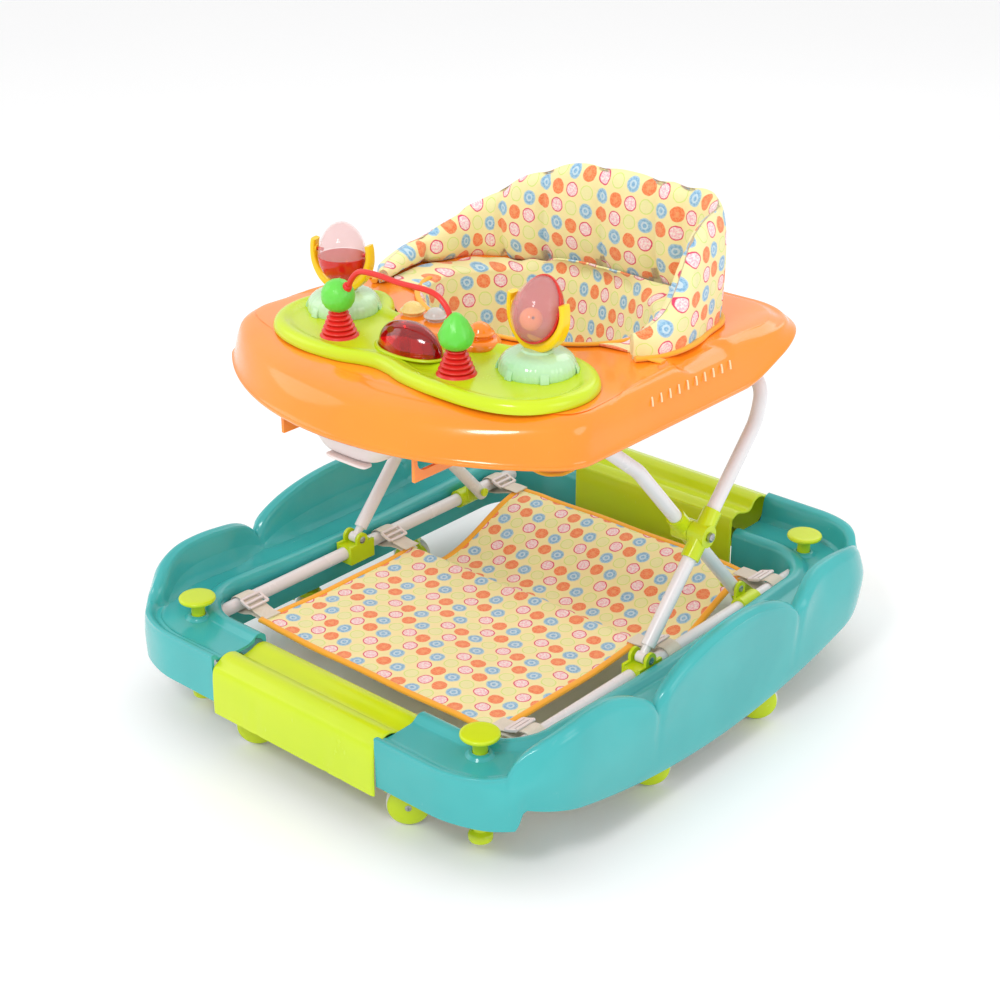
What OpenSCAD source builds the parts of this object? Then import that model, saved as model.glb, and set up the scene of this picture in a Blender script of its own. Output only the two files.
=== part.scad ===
// Folding baby walker: rocker base on swivel casters, crossed tube legs on each side,
// a play tray hinged to the legs, a fabric seat in the tray and a foot mat in the base.
// Front is -Y, +X is the child's left, +Z is up, and the floor is z = 0.

/* [Base] */
// Half of the base's width, at the outer walls
base_half_w = 308; // [300:1:312]
// Half of the base's length, at the front and rear covers
base_half_l = 356; // [350:1:358]
// Wall thickness of the moulded shells
wall = 3; // [2:0.5:3.5]
// Height of the flat deck at the four corners
deck_z = 116; // [114:1:117]
// Height of the tallest hump of each side wall
hump_z = 178; // [165:1:184]
// Lowest point of the curved rocker edge
rocker_z = 38; // [36:1:42]

/* [Legs] */
// Outside radius of the leg and base tubes
tube_r = 8; // [7.5:0.1:8]
// Distance of the base tubes and outer legs from the middle
outer_x = 222; // [222:0.5:223]
// Distance of the inner legs from the middle
inner_x = 200; // [199:0.5:200]

/* [Casters] */
// Radius of a caster wheel
wheel_r = 24; // [22:0.5:24]
// Distance from a caster's swivel axis to its axle
caster_trail = 10; // [8:0.5:11]
// Direction in which every caster trails
caster_heading = 41; // [0:1:359]

/* [Tray] */
// Height of the tray's flat deck
tray_z = 450; // [446:1:452]
// Half of the tray's width
tray_half_w = 248; // [240:1:250]
// Front edge of the tray
tray_front = 290; // [280:1:292]
// Rear edge of the tray
tray_rear = 238; // [225:1:240]

/* [Seat] */
// Height of the top of the padded back
seat_top = 590; // [560:1:600]
// Lowest point of the seat sling
sling_low = 258; // [240:1:280]

/* [Hidden] */
$fn = 48;

side_end = 124;             // a side shell starts this far from the middle
cover_half = side_end - 0.6;
base_tube_z = 103;
low_pivot_z = 118;
slide_y = -37;              // lower pivot of the outer legs, on the sliding blocks
clamp_y = 165;              // lower pivot of the inner legs, on the fixed clamps
hub_y = (slide_y + clamp_y) / 2;
hub_z = 230;
pin_r = 3;
run_gap = 0.05;             // radial clearance of a turning pin
tube_wall = 1.2;
tray_pin = [172, 388];      // [y, z] of the rear crossbar, which the tray turns on
front_bar = [-100, 388];    // [y, z] of the front crossbar, which slides under the tray
tray_back_x = 120;          // distance of the tray's rear clips from the middle

stopper_at = [215, 294];
stopper_r = 8;

caster_at = [[117, -312], [262, -89], [273, 100], [117, 312]];
socket_top = 104;

spinner_at = [139, -120];
spinner_z = 522;
yoke_half = 33;
yoke_turn = [0, 16];        // rest angles of the right and left yokes
fruit_at = [84, -181];

mat_half_w = 182;
strap_y = [-220, 12, 220];

teal = "#45BBB3";
lime = "#C5DE28";
orange = "#FB9C30";
white = "#ECE8EB";
red = "#E03128";

CORNERS = [["front_right", 1, -1], ["front_left", -1, -1], ["rear_right", 1, 1], ["rear_left", -1, 1]];

// ---------- helpers ----------

function unit(v) = v / norm(v);

// Points of an arc about [cx, cy] from angle a0 to a1, in n steps.
function arc(cx, cy, r, a0, a1, n) =
    [for (i = [0:n]) let (a = a0 + (a1 - a0) * i / n) [cx + r * cos(a), cy + r * sin(a)]];

// Height of a half-ellipse hump over its centre, with its own half-width each side.
function bump(y, centre, before, after) =
    let (t = (y - centre) / (y < centre ? before : after)) sqrt(max(0, 1 - t * t));

// Smooth step from 0 at a to 1 at b.
function ease(v, a, b) = let (t = min(1, max(0, (v - a) / (b - a)))) t * t * (3 - 2 * t);

// The same polyline with its mirror image in x appended in reverse, which closes a loop.
function with_mirror(half) =
    concat(half, [for (i = [len(half) - 2:-1:1]) [-half[i].x, half[i].y]]);

// A closed solid through rings of equal length: one closed profile per station.
// With closed = true the last station joins the first, or else flat ends close it.
module loft(rings, closed = false) {
    m = len(rings);
    n = len(rings[0]);
    last = closed ? m - 1 : m - 2;
    sides = [for (i = [0:last], j = [0:n - 1])
        let (a = i * n, b = ((i + 1) % m) * n, k = (j + 1) % n)
        each [[a + j, b + j, b + k], [a + j, b + k, a + k]]];
    caps = closed ? [] : [[for (j = [0:n - 1]) j], [for (j = [n - 1:-1:0]) (m - 1) * n + j]];
    polyhedron([for (ring = rings) each ring], concat(sides, caps), 10);
}

// A straight tube or rod between two points; hole is the radius of its bore, or 0.
module rod(a, b, r, hole = 0) {
    d = b - a;
    translate(a) rotate([0, acos(d.z / norm(d)), atan2(d.y, d.x)]) difference() {
        cylinder(h = norm(d), r = r);
        if (hole > 0) translate([0, 0, -1]) cylinder(h = norm(d) + 2, r = hole);
    }
}

function setback(p, q, s, bend) = bend * tan(acos(unit(q - p) * unit(s - q)) / 2);

// A quarter or other part of a torus that turns the corner p, q, s.
module elbow(p, q, s, r, bend) {
    u = unit(q - p);
    v = unit(s - q);
    w = unit(v - u * (u * v));
    c = q - u * setback(p, q, s, bend) + w * bend;
    n = cross(-w, u);
    multmatrix([[-w.x, u.x, n.x, c.x], [-w.y, u.y, n.y, c.y], [-w.z, u.z, n.z, c.z], [0, 0, 0, 1]])
        rotate_extrude(angle = acos(u * v)) translate([bend, 0]) circle(r = r);
}

// A round bar bent along corner points, where bends[i] is the bend radius at point i + 1.
// Each straight runs lap into its elbows, which are thicker by swell, as a bent tube is.
lap = 0.6;
swell = 0.04;
module bent_bar(points, bends, r) {
    n = len(points);
    for (i = [0:n - 2]) {
        d = unit(points[i + 1] - points[i]);
        first = i == 0 ? 0 : setback(points[i - 1], points[i], points[i + 1], bends[i - 1]) - lap;
        last = i == n - 2 ? 0 : setback(points[i], points[i + 1], points[i + 2], bends[i]) - lap;
        rod(points[i] + d * first, points[i + 1] - d * last, r);
    }
    for (i = [1:n - 2]) elbow(points[i - 1], points[i], points[i + 1], r + swell, bends[i - 1]);
}
module bent_tube(points, bends) difference() {
    bent_bar(points, bends, tube_r);
    bent_bar(points, bends, tube_r - tube_wall);
}

// A cylinder along X, centred on its length.
module x_pin(at, r, length) translate(at) rotate([0, 90, 0]) cylinder(r = r, h = length, center = true);

// A cylinder along Y, centred on its length.
module y_pin(at, r, length) translate(at) rotate([90, 0, 0]) cylinder(r = r, h = length, center = true);

module both_sides() {
    children();
    mirror([1, 0, 0]) children();
}

// ---------- base ----------

// Outer and inner outlines of one side, from its front end round to its rear end.
side_outer = concat([[side_end, -352], [165, -352]], arc(198, -242, 110, -90, 0, 8),
    [for (i = [1:23]) [base_half_w, -242 + 484 * i / 24]], arc(198, 242, 110, 0, 90, 8),
    [[165, 352], [side_end, 352]]);
side_inner = concat([[side_end, -274], [152, -274]], arc(176, -214, 60, -90, 0, 8),
    [for (i = [1:23]) [236, -214 + 428 * i / 24]], arc(176, 214, 60, 0, 90, 8),
    [[152, 274], [side_end, 274]]);

// The rim has one tall hump in the middle and a lower one towards each corner.
function rim_z(y) = max(118 + 30 * ease(y, 290, 345), 124 + 42 * bump(abs(y), 225, 98, 95),
    122 + (hump_z - 122) * bump(y, 20, 150, 115));
function side_deck_z(y) = deck_z + 14 * max(0, 1 - pow(y / 230, 2));
function rocker(y) = rocker_z + y * y / 1900;
function side_low_z(y) = rocker(y) + (66 - rocker(y)) * ease(abs(y), 304, 320);

// How far the wall bulges out along the side, and how far the rim leans in near the corners.
function side_flare(y) = 1 - 0.85 * ease(abs(y), 285, 335);
function side_lean(y) = 12 * ease(abs(y), 130, 200) * (1 - ease(abs(y), 300, 340));

// Section of a side shell as [distance in from the outer outline, height].
function side_section(y, w) =
    let (r = rim_z(y), d = side_deck_z(y), b = side_low_z(y), m = (b + r) / 2,
        f = side_flare(y), n = side_lean(y))
    [[0, b], [-4 * f, m], [n - 8 * f, r - 12], [n - 5 * f, r - 3], [n + 2, r], [n + 9, r - 5], [n + 19, d],
        [w - 22, d + 1], [w - 14, d + 7], [w - 5, d + 5], [w, d - 3], [w, 64],
        [w - wall, 64], [w - wall, d - 5], [w - 14, d + 3.5], [w - 21, d - 2.5],
        [n + 19, d - 3.6], [n + 6, r - 7.5], [n + 3.5 - 4 * f, r - 5.5], [n + 3.5 - 8 * f, r - 12],
        [wall - 4 * f, m], [wall, b]];

module base_side() difference() {
    loft([for (i = [0:len(side_outer) - 1])
        let (o = side_outer[i], d = side_inner[i] - o, w = norm(d))
        [for (p = side_section(o.y, w)) [o.x + d.x / w * p[0], o.y + d.y / w * p[0], p[1]]]]);
    for (s = [-1, 1]) {
        translate([stopper_at.x, s * stopper_at.y, 100]) cylinder(r = stopper_r + 3, h = 40);
        y_pin([outer_x, s * 250, base_tube_z], tube_r + 0.8, 40);
    }
}
module base_side_right() color(teal) base_side();
module base_side_left() color(teal) mirror([1, 0, 0]) base_side();

// Open channel that bridges the two side shells: its section is [y, z], then swept along x.
function cover_section(top) =
    [[-base_half_l, 55], [-354, top - 10], [-345, top - 3], [-333, top + 2], [-321, top - 1],
        [-312, top - 10], [-300, top - 9], [-287, top - 5], [-276, top - 8], [-271, top - 16], [-271, 62]];
module cover(top) {
    outside = cover_section(top);
    rows = len(outside) - 1;
    inside = [for (i = [rows:-1:0])
        let (a = outside[max(0, i - 1)], b = outside[min(rows, i + 1)], t = unit(b - a))
        outside[i] + [t.y, -t.x] * (wall - 0.5)];
    rotate([90, 0, 90]) linear_extrude(height = 2 * cover_half, center = true)
        polygon(concat(outside, inside));
}
module front_cover() color(lime) cover(119);
module rear_cover() color(lime) mirror([0, 1, 0]) cover(150);

// Flat steel bars that tie the two side shells together under the covers.
module base_joiners() color("silver") for (s = [-1, 1]) difference() {
    translate([-150, s * 312 - 14, 96]) cube([300, 28, 3]);
    both_sides() translate([117, s * 312, 90]) cylinder(r = 9.3, h = 20);
}

module side_tube() rod([outer_x, -258, base_tube_z], [outer_x, 258, base_tube_z], tube_r, tube_r - tube_wall);
module side_tube_right() color(white) side_tube();
module side_tube_left() color(white) mirror([1, 0, 0]) side_tube();

module rear_pivot_clamp() {
    difference() {
        union() {
            y_pin([outer_x, clamp_y, base_tube_z], tube_r + 3.5, 32);
            x_pin([210.8, clamp_y, low_pivot_z], 9, 3.6);
            translate([209, clamp_y - 9, base_tube_z]) cube([3.6, 18, low_pivot_z - base_tube_z]);
        }
        y_pin([outer_x, clamp_y, base_tube_z], tube_r + run_gap, 40);
    }
    x_pin([(187 + 211) / 2, clamp_y, low_pivot_z], pin_r, 24);
    x_pin([188.5, clamp_y, low_pivot_z], 5.5, 3);
}
module rear_pivot_clamps() color(lime) both_sides() rear_pivot_clamp();

// Sockets that the caster stems turn in, and collars that the stoppers slide in.
module base_guides() color(teal) both_sides() {
    for (p = caster_at) translate([p.x, p.y, 0]) difference() {
        translate([0, 0, 58]) cylinder(r = 9, h = socket_top - 58);
        translate([0, 0, 50]) cylinder(r = 4 + run_gap, h = 36);
    }
    for (s = [-1, 1]) translate([stopper_at.x, s * stopper_at.y, 94]) difference() {
        cylinder(r = stopper_r + 2.7, h = deck_z + 1 - 94);
        translate([0, 0, -1]) cylinder(r = stopper_r + run_gap, h = 60);
    }
}

// Height of the mat's top along y: flat in front, a foot trough, then a rise to the rear.
function mat_z(y) = 99 - 42 * ease(y, 14, 44) + 46 * ease(y, 72, 228) - 4 * bump(y, -112, 120, 120);
mat_rows = [for (y = [-238:10:232]) y];
module foot_mat() color("#F5EBB0") rotate([90, 0, 90])
    linear_extrude(height = 2 * mat_half_w, center = true)
        polygon(concat([for (y = mat_rows) [y, mat_z(y)]],
            [for (i = [len(mat_rows) - 1:-1:0]) [mat_rows[i], mat_z(mat_rows[i]) - 5]]));

module mat_straps() color("#E8E0CC") both_sides() for (y = strap_y) {
    difference() {
        y_pin([outer_x, y, base_tube_z], tube_r + 2, 20);
        y_pin([outer_x, y, base_tube_z], tube_r + 0.4, 30);
    }
    translate([mat_half_w + 0.6, y - 9, 96]) cube([30.5, 18, 2.4]);
}

// ---------- stoppers and casters ----------

// Press knob, stem and rubber foot as one push rod.
module stopper(side, end) translate([side * stopper_at.x, end * stopper_at.y, 0]) color(lime)
    rotate_extrude() polygon([[0, 14], [12, 14], [13, 16], [13, 22], [stopper_r, 26], [stopper_r, 131],
        [11.5, 136], [19.5, 137], [21, 139], [20.5, 141.5], [18, 143], [0, 143]]);

// A caster with its swivel axis on Z; the wheel trails along +X.
module fork_shape() {
    for (s = [-1, 1]) {
        y_pin([caster_trail, s * 9, wheel_r], wheel_r - 1.5, 3);
        translate([caster_trail - 14, s * 9 - 1.5, wheel_r]) cube([22, 3, 27]);
    }
    y_pin([caster_trail, 0, wheel_r], pin_r, 18);
    translate([caster_trail - 14, -10.5, wheel_r * 2 + 1]) cube([22, 21, 5]);
    translate([0, 0, wheel_r * 2 + 1]) cylinder(r = 12, h = 7);
    translate([0, 0, wheel_r * 2 + 5]) cylinder(r = 4, h = 29);
}
module wheel_shape() translate([caster_trail, 0, wheel_r]) rotate([90, 0, 0]) rotate_extrude()
    polygon([[pin_r + run_gap, -7], [wheel_r - 2, -7], [wheel_r, -5], [wheel_r, 5], [wheel_r - 2, 7],
        [pin_r + run_gap, 7]]);

// Casters 1 to 4 run from the front to the rear on the right, and 5 to 8 on the left.
module at_caster(i) {
    p = caster_at[i % 4];
    translate([i < 4 ? p.x : -p.x, p.y, 0]) rotate([0, 0, caster_heading]) children();
}

// ---------- legs ----------

leg_dir = unit([0, hub_y - slide_y, hub_z - low_pivot_z]);

module hub_sleeve(x, dir) difference() {
    union() {
        rod([x, hub_y, hub_z] - dir * 30, [x, hub_y, hub_z] + dir * 30, 10.7);
        x_pin([x, hub_y, hub_z], 13, 21.4);
    }
    rod([x, hub_y, hub_z] - dir * 31, [x, hub_y, hub_z] + dir * 31, tube_r + 0.1);
    x_pin([x, hub_y, hub_z], pin_r + run_gap, 60);
}

// One side of the inner legs, mirrored in y from the outer legs' slope.
inner_dir = [0, -leg_dir.y, leg_dir.z];
inner_foot = [inner_x, clamp_y, low_pivot_z] - inner_dir * 12;
inner_knee = [inner_x, clamp_y, low_pivot_z] + inner_dir * 286;
inner_top = [inner_x, front_bar.x, front_bar.y];
function mx(p) = [-p.x, p.y, p.z];

inner_route = [inner_foot, inner_knee, inner_top, mx(inner_top), mx(inner_knee), mx(inner_foot)];
module inner_leg_tube() color(white) difference() {
    bent_tube(inner_route, [60, 32, 32, 60]);
    x_pin([0, clamp_y, low_pivot_z], pin_r + run_gap, 500);
    x_pin([0, hub_y, hub_z], pin_r + run_gap, 500);
}
module inner_hub_sleeves() color(lime) both_sides() hub_sleeve(inner_x, inner_dir);
module hub_bolts() color("silver") both_sides() {
    x_pin([(186 + 236) / 2, hub_y, hub_z], pin_r, 50);
    x_pin([187, hub_y, hub_z], 5.5, 3);
    x_pin([235, hub_y, hub_z], 5.5, 3);
}

outer_foot = [outer_x, slide_y, low_pivot_z];
outer_knee = outer_foot + leg_dir * 294;
outer_top = [outer_x, tray_pin.x, tray_pin.y];

outer_route = [outer_foot + leg_dir * 14, outer_knee, outer_top, mx(outer_top), mx(outer_knee),
    mx(outer_foot + leg_dir * 14)];
module outer_leg_tube() color(white) {
    difference() {
        bent_tube(outer_route, [50, 30, 30, 50]);
        x_pin([0, hub_y, hub_z], pin_r + run_gap, 500);
    }
    both_sides() difference() {
        union() {
            rod(outer_foot, outer_foot + leg_dir * 24, 5);
            x_pin(outer_foot, 6.3, 11);
            rod(outer_foot + leg_dir * 13.5, outer_foot + leg_dir * 20, tube_r - tube_wall / 2);
        }
        x_pin(outer_foot, pin_r + run_gap - 0.5, 30);
    }
}
module outer_hub_sleeves() color(lime) both_sides() hub_sleeve(outer_x, leg_dir);

// Block that runs on the base tube, with two ears and a pin for the outer leg's end.
module slide_block() difference() {
    union() {
        difference() {
            union() {
                translate([209.5, slide_y - 20, 90]) cube([25, 40, 24]);
                for (x = [209.5, 230.8]) {
                    x_pin([x + 1.85, slide_y, low_pivot_z], 9, 3.7);
                    translate([x, slide_y - 9, 108]) cube([3.7, 18, 10]);
                }
            }
            translate([213.2, slide_y - 21, 111.3]) cube([17.6, 42, 30]);
        }
        x_pin([222, slide_y, low_pivot_z], pin_r - 0.5, 25);
    }
    y_pin([outer_x, slide_y, base_tube_z], tube_r + run_gap, 60);
}
module slide_blocks() color(lime) both_sides() slide_block();

// ---------- tray ----------

nose = tray_front + 55;       // radius of the front edge, about [0, 55]
turn = 50;                    // radius of the front corners
tail = 80;                    // radius of the rear corners
corner_y = 55 - sqrt(pow(nose - turn, 2) - pow(tray_half_w - turn, 2));
corner_a = atan2(corner_y - 55, tray_half_w - turn);

tray_outline = with_mirror(concat(
    arc(0, 55, nose, -90, corner_a, 6),
    [for (a = [corner_a / 2, 0]) [tray_half_w - turn + turn * cos(a), corner_y + turn * sin(a)]],
    [for (i = [1:5]) [tray_half_w, corner_y + (tray_rear - tail - corner_y) * i / 6]],
    arc(tray_half_w - tail, tray_rear - tail, tail, 0, 90, 5),
    [[85, tray_rear], [0, tray_rear]]));
tray_count = len(tray_outline);

// Seat opening: an oval with one point for each point of the outline.
function opening_point(i) = let (a = atan2((tray_outline[i].y - 25) / 260, tray_outline[i].x / 248))
    [150 * cos(a), 45 + 110 * sin(a)];

function tray_low_z(y) = 400 + 30 * ease(y, 90, 205);
function apron_w(p) = 32 + 31 * ease(-p.y, 190, 280);

// Section as [fraction towards the opening, height] for an edge whose lower rim is at b.
function tray_section(b, f) =
    [[0, b], [-0.01, b + 8], [f * 0.12, b + (tray_z - b) * 0.55], [f * 0.5, tray_z - 9],
        [f, tray_z - 1], [0.6, tray_z], [0.97, tray_z], [1, tray_z - 3], [1, tray_z - 16],
        [0.975, tray_z - 16], [0.975, tray_z - 4], [f, tray_z - 4.5], [f * 0.6, tray_z - 12],
        [f * 0.26, b + (tray_z - b) * 0.45], [0.025, b + 8], [0.025, b]];

module tray_shell() color(orange) loft([for (i = [0:tray_count - 1])
    let (o = tray_outline[i], c = opening_point(i), d = c - o)
    [for (p = tray_section(tray_low_z(o.y), apron_w(o) / norm(d))) [o.x + d.x * p[0], o.y + d.y * p[0], p[1]]]],
    true);

// Clips that hold the rear crossbar under the tray.
module tray_clips() color(lime) both_sides() difference() {
    translate([tray_back_x - 13, tray_pin.x - 12, tray_pin.y - 12]) cube([26, 25, tray_z - 5 - tray_pin.y + 12]);
    x_pin([tray_back_x, tray_pin.x, tray_pin.y], tube_r + run_gap, 40);
}

// Slotted plates under the tray that the front crossbar slides in.
bar_slot_z = 386.7;
module bar_guides() color(white) both_sides() translate([93, 0, 0]) rotate([90, 0, 90])
    linear_extrude(height = 4) difference() {
        polygon([[-84, 366], [-84, 443], [-213, 443], [-250, 416], [-258, 404], [-258, 366]]);
        for (y = [front_bar.x, -243]) translate([y, bar_slot_z]) circle(r = 10.4);
        translate([-243, bar_slot_z - 10.4]) square([143, 20.8]);
    }

module lock_box() color(white) difference() {
    translate([0, -190, 0]) rotate([90, 0, 0]) linear_extrude(height = 72)
        polygon([[-82, 399], [-82, 366], [-70, 352], [70, 352], [82, 366], [82, 399]]);
    translate([-100, -254, 375.5]) cube([200, 100, 60]);
    translate([-34.5, -270, 356.5]) cube([69, 27, 14]);
}
module lock_lever() color(lime) difference() {
    translate([-34, -272, 357]) cube([68, 25, 13]);
    translate([-24, -280, 361]) cube([48, 12, 5]);
}

// ---------- toys ----------

insert_z = tray_z + 0.6;
play_z = insert_z + 6;

module toy_insert() color(lime) translate([0, 0, insert_z]) linear_extrude(height = 6) difference() {
    union() {
        for (s = [-1, 1]) translate([s * 143, -148]) circle(r = 79);
        polygon([[-143, -227], [-90, -227], [-40, -220], [0, -214], [40, -220], [90, -227], [143, -227],
            [143, -90], [70, -97], [-70, -97], [-143, -90]]);
    }
    for (s = [-1, 1]) translate([s * spinner_at.x, spinner_at.y]) circle(r = 3.6);
}

// Half-oval dome of half-axes a and b and height h.
module oval_dome(a, b, h) {
    steps = 6;
    rings = [for (i = [0:steps]) let (t = 90 * i / steps * 0.96)
        [for (j = [0:23]) [a * cos(t) * cos(15 * j), b * cos(t) * sin(15 * j), h * sin(t)]]];
    loft([for (r = [steps:-1:0]) rings[r]]);
}
module light_dome() color(red) translate([3, -165, play_z + 0.3]) oval_dome(38, 24, 28);

panel_z = play_z + 9;
module music_panel() color(orange) translate([0, -106, play_z + 0.3]) difference() {
    linear_extrude(height = 8.7) union() {
        square([90, 50], center = true);
        for (s = [-1, 1]) translate([s * 45, 0]) circle(r = 25);
    }
    for (b = BUTTONS) translate([b[0], b[1] + 106, 2]) cylinder(r = b[2] - 2, h = 20);
}
BUTTONS = [[-54, -100, 13], [-22, -98, 12], [47, -104, 12]];
module button(i) translate([BUTTONS[i][0], BUTTONS[i][1], 0]) rotate_extrude() let (r = BUTTONS[i][2])
    polygon([[0, play_z + 6.5], [r - 2.5, play_z + 6.5], [r - 2.5, panel_z + 4.2], [r, panel_z + 4.2],
        [r * 0.85, panel_z + 9], [r * 0.5, panel_z + 12], [0, panel_z + 13]]);
module yellow_button() color("#F3E08A") button(0);
module grey_button() color("#CFC8C4") button(1);
module orange_button() color(orange) button(2);

// Ribbed flexible cones that carry the fruit knobs.
module bellows() color(red) both_sides() translate([fruit_at.x, fruit_at.y, play_z + 0.3])
    rotate_extrude() polygon(concat([[0, 0]],
        [for (i = [0:4], p = [[21 - 2.2 * i, 5 * i], [21 - 2.2 * i, 5 * i + 3], [18.5 - 2.2 * i, 5 * i + 4]]) p],
        [[8, 25], [0, 25]]));

module fruit_knobs() color("#66CC50") {
    translate([-fruit_at.x, fruit_at.y, 500]) sphere(r = 18);
    translate([fruit_at.x, fruit_at.y, 500]) rotate_extrude()
        polygon([[0, -18], [8, -17.5], [15, -13], [18, -5], [17, 3], [12, 11], [6, 17], [0, 20]]);
}

module rod_arch() color(red)
    bent_bar([[-74, -181, 519], [-62, -181, 535], [62, -181, 535], [75, -181, 518]], [14, 14], 3.2);

module spinner_bases() color("#BEE6BE") both_sides() translate([spinner_at.x, spinner_at.y, play_z + 0.3])
    difference() {
        rotate_extrude() polygon(concat([[0, 0], [39, 0]],
            [for (a = [6:12:78]) [38 * cos(a), 2 + 18.5 * sin(a)]], [[0, 20.5]]));
        translate([0, 0, 3]) cylinder(r = pin_r + run_gap, h = 30);
    }

yoke_low = 481;
module yoke(side, turned) translate([side * spinner_at.x, spinner_at.y, 0]) rotate([0, 0, turned])
    color("#F4D733") difference() {
        union() {
            bent_bar([[-yoke_half, 0, 529], [-yoke_half, 0, yoke_low], [yoke_half, 0, yoke_low],
                [yoke_half, 0, 529]], [24, 24], 3);
            for (s = [-1, 1]) x_pin([s * yoke_half, 0, spinner_z], 6, 6);
            translate([0, 0, play_z + 21.2]) cylinder(r = 8, h = yoke_low - play_z - 21.2);
            translate([0, 0, play_z + 6]) cylinder(r = pin_r, h = 20);
        }
        x_pin([0, 0, spinner_z], 2 + run_gap, 100);
    }
module yoke_right() yoke(1, yoke_turn[0]);
module yoke_left() yoke(-1, yoke_turn[1]);

// Radius of the egg at a height from its middle, from -1 to 1.
function egg_r(t, a) = a * sqrt(max(0, 1 - t * t)) * (1 - 0.1 * t);
module egg(side, turned) translate([side * spinner_at.x, spinner_at.y, spinner_z]) rotate([0, 0, turned])
    color("#E86A5A") {
        rotate_extrude() difference() {
            polygon([for (t = [-1:0.1:1.01]) [egg_r(min(t, 1), 26.5), 34 * min(t, 1)]]);
            polygon([for (t = [-1:0.1:1.01]) [egg_r(min(t, 1), 24.7), 32 * min(t, 1)]]);
        }
        for (s = [-1, 1]) x_pin([s * 30, 0, 0], 2, 9);
    }
module egg_right() egg(1, yoke_turn[0]);
module egg_left() egg(-1, yoke_turn[1]);
module egg_bead() color(orange) translate([spinner_at.x, spinner_at.y, spinner_z - 17]) sphere(r = 11);

// ---------- seat ----------

// Middle line of the padded back, from the right tip round to the left tip.
back_half = concat([[0, 150], [50, 150], [100, 149]], arc(140, 104, 45, 90, 12, 5),
    [[189, 88], [195, 66], [198, 44], [197, 22], [191, 0], [180, -18]]);
back_line = concat([for (i = [len(back_half) - 1:-1:0]) back_half[i]],
    [for (i = [1:len(back_half) - 1]) [-back_half[i].x, back_half[i].y]]);

// Share of the back's full height: tall at the right corner, then falling along the wings,
// and drooping towards the left, where nothing holds the fabric up.
function right_rise(y) = lookup(y, [[-20, 0.15], [0, 0.22], [20, 0.33], [36, 0.56], [54, 0.86], [150, 1]]);
function left_rise(p) = min(lookup(p.y, [[-20, 0.08], [20, 0.13], [60, 0.22], [120, 0.36], [149, 1]]),
    lookup(-p.x, [[0, 1], [40, 0.96], [113, 0.74], [152, 0.55], [190, 0.36]]));
function back_top(p) = tray_z + 6 + (seat_top - tray_z - 6) * (p.x < 0 ? left_rise(p) : right_rise(p.y));

module seat_back() color("#F5EBAA") loft([for (i = [0:len(back_line) - 1])
    let (p = back_line[i], a = back_line[max(0, i - 1)], b = back_line[min(len(back_line) - 1, i + 1)],
        t = unit(b - a), n = [t.y, -t.x], top = back_top(p))
    [for (q = [[-9, tray_z + 0.6], [9, tray_z + 0.6], [11, tray_z + 8], [11, top - 6], [5, top],
        [-5, top], [-11, top - 6], [-11, tray_z + 8]]) [p.x + n.x * q[0], p.y + n.y * q[0], q[1]]]]);

// Bucket that hangs in the opening, with a leg hole each side of the front.
sling_rows = [[0.03, 0], [0.5, 6], [0.7, 24], [0.8, 60], [0.87, 110], [0.93, 150], [0.95, 186]];
sling_section = concat([for (i = [len(sling_rows) - 1:-1:0]) sling_rows[i]],
    [for (i = [0:len(sling_rows) - 1]) sling_rows[i] + [i == 0 ? 0 : -0.04, i == len(sling_rows) - 1 ? 0 : 5]]);
module seat_sling() color("#F2E6A0") difference() {
    loft([for (j = [0:31]) let (a = 360 * j / 32)
        [for (p = sling_section) [148 * p[0] * cos(a), 45 + 108 * p[0] * sin(a), sling_low + p[1]]]], true);
    both_sides() translate([62, -10, 310]) rotate([90, 0, 28]) cylinder(r = 40, h = 120, $fn = 24);
}

// ---------- nodes ----------

base_side_right();
base_side_left();
front_cover();
rear_cover();
base_joiners();
side_tube_right();
side_tube_left();
rear_pivot_clamps();
base_guides();
foot_mat();
mat_straps();
for (c = CORNERS) stopper(c[1], c[2]);
for (i = [0:7]) color(lime) at_caster(i) fork_shape();
for (i = [0:7]) color(white) at_caster(i) wheel_shape();
inner_leg_tube();
inner_hub_sleeves();
hub_bolts();
outer_leg_tube();
outer_hub_sleeves();
slide_blocks();
tray_shell();
tray_clips();
bar_guides();
lock_box();
lock_lever();
toy_insert();
light_dome();
music_panel();
yellow_button();
grey_button();
orange_button();
bellows();
fruit_knobs();
rod_arch();
spinner_bases();
yoke_right();
yoke_left();
egg_right();
egg_left();
egg_bead();
seat_back();
seat_sling();
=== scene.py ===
"""Folding baby walker: the moulded shells, toys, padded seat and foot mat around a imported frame.

Every shape below is worked out in millimetres, in the frame's own axes (front is -Y, up is +Z),
and put into its mesh in metres.
"""
import math

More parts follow.
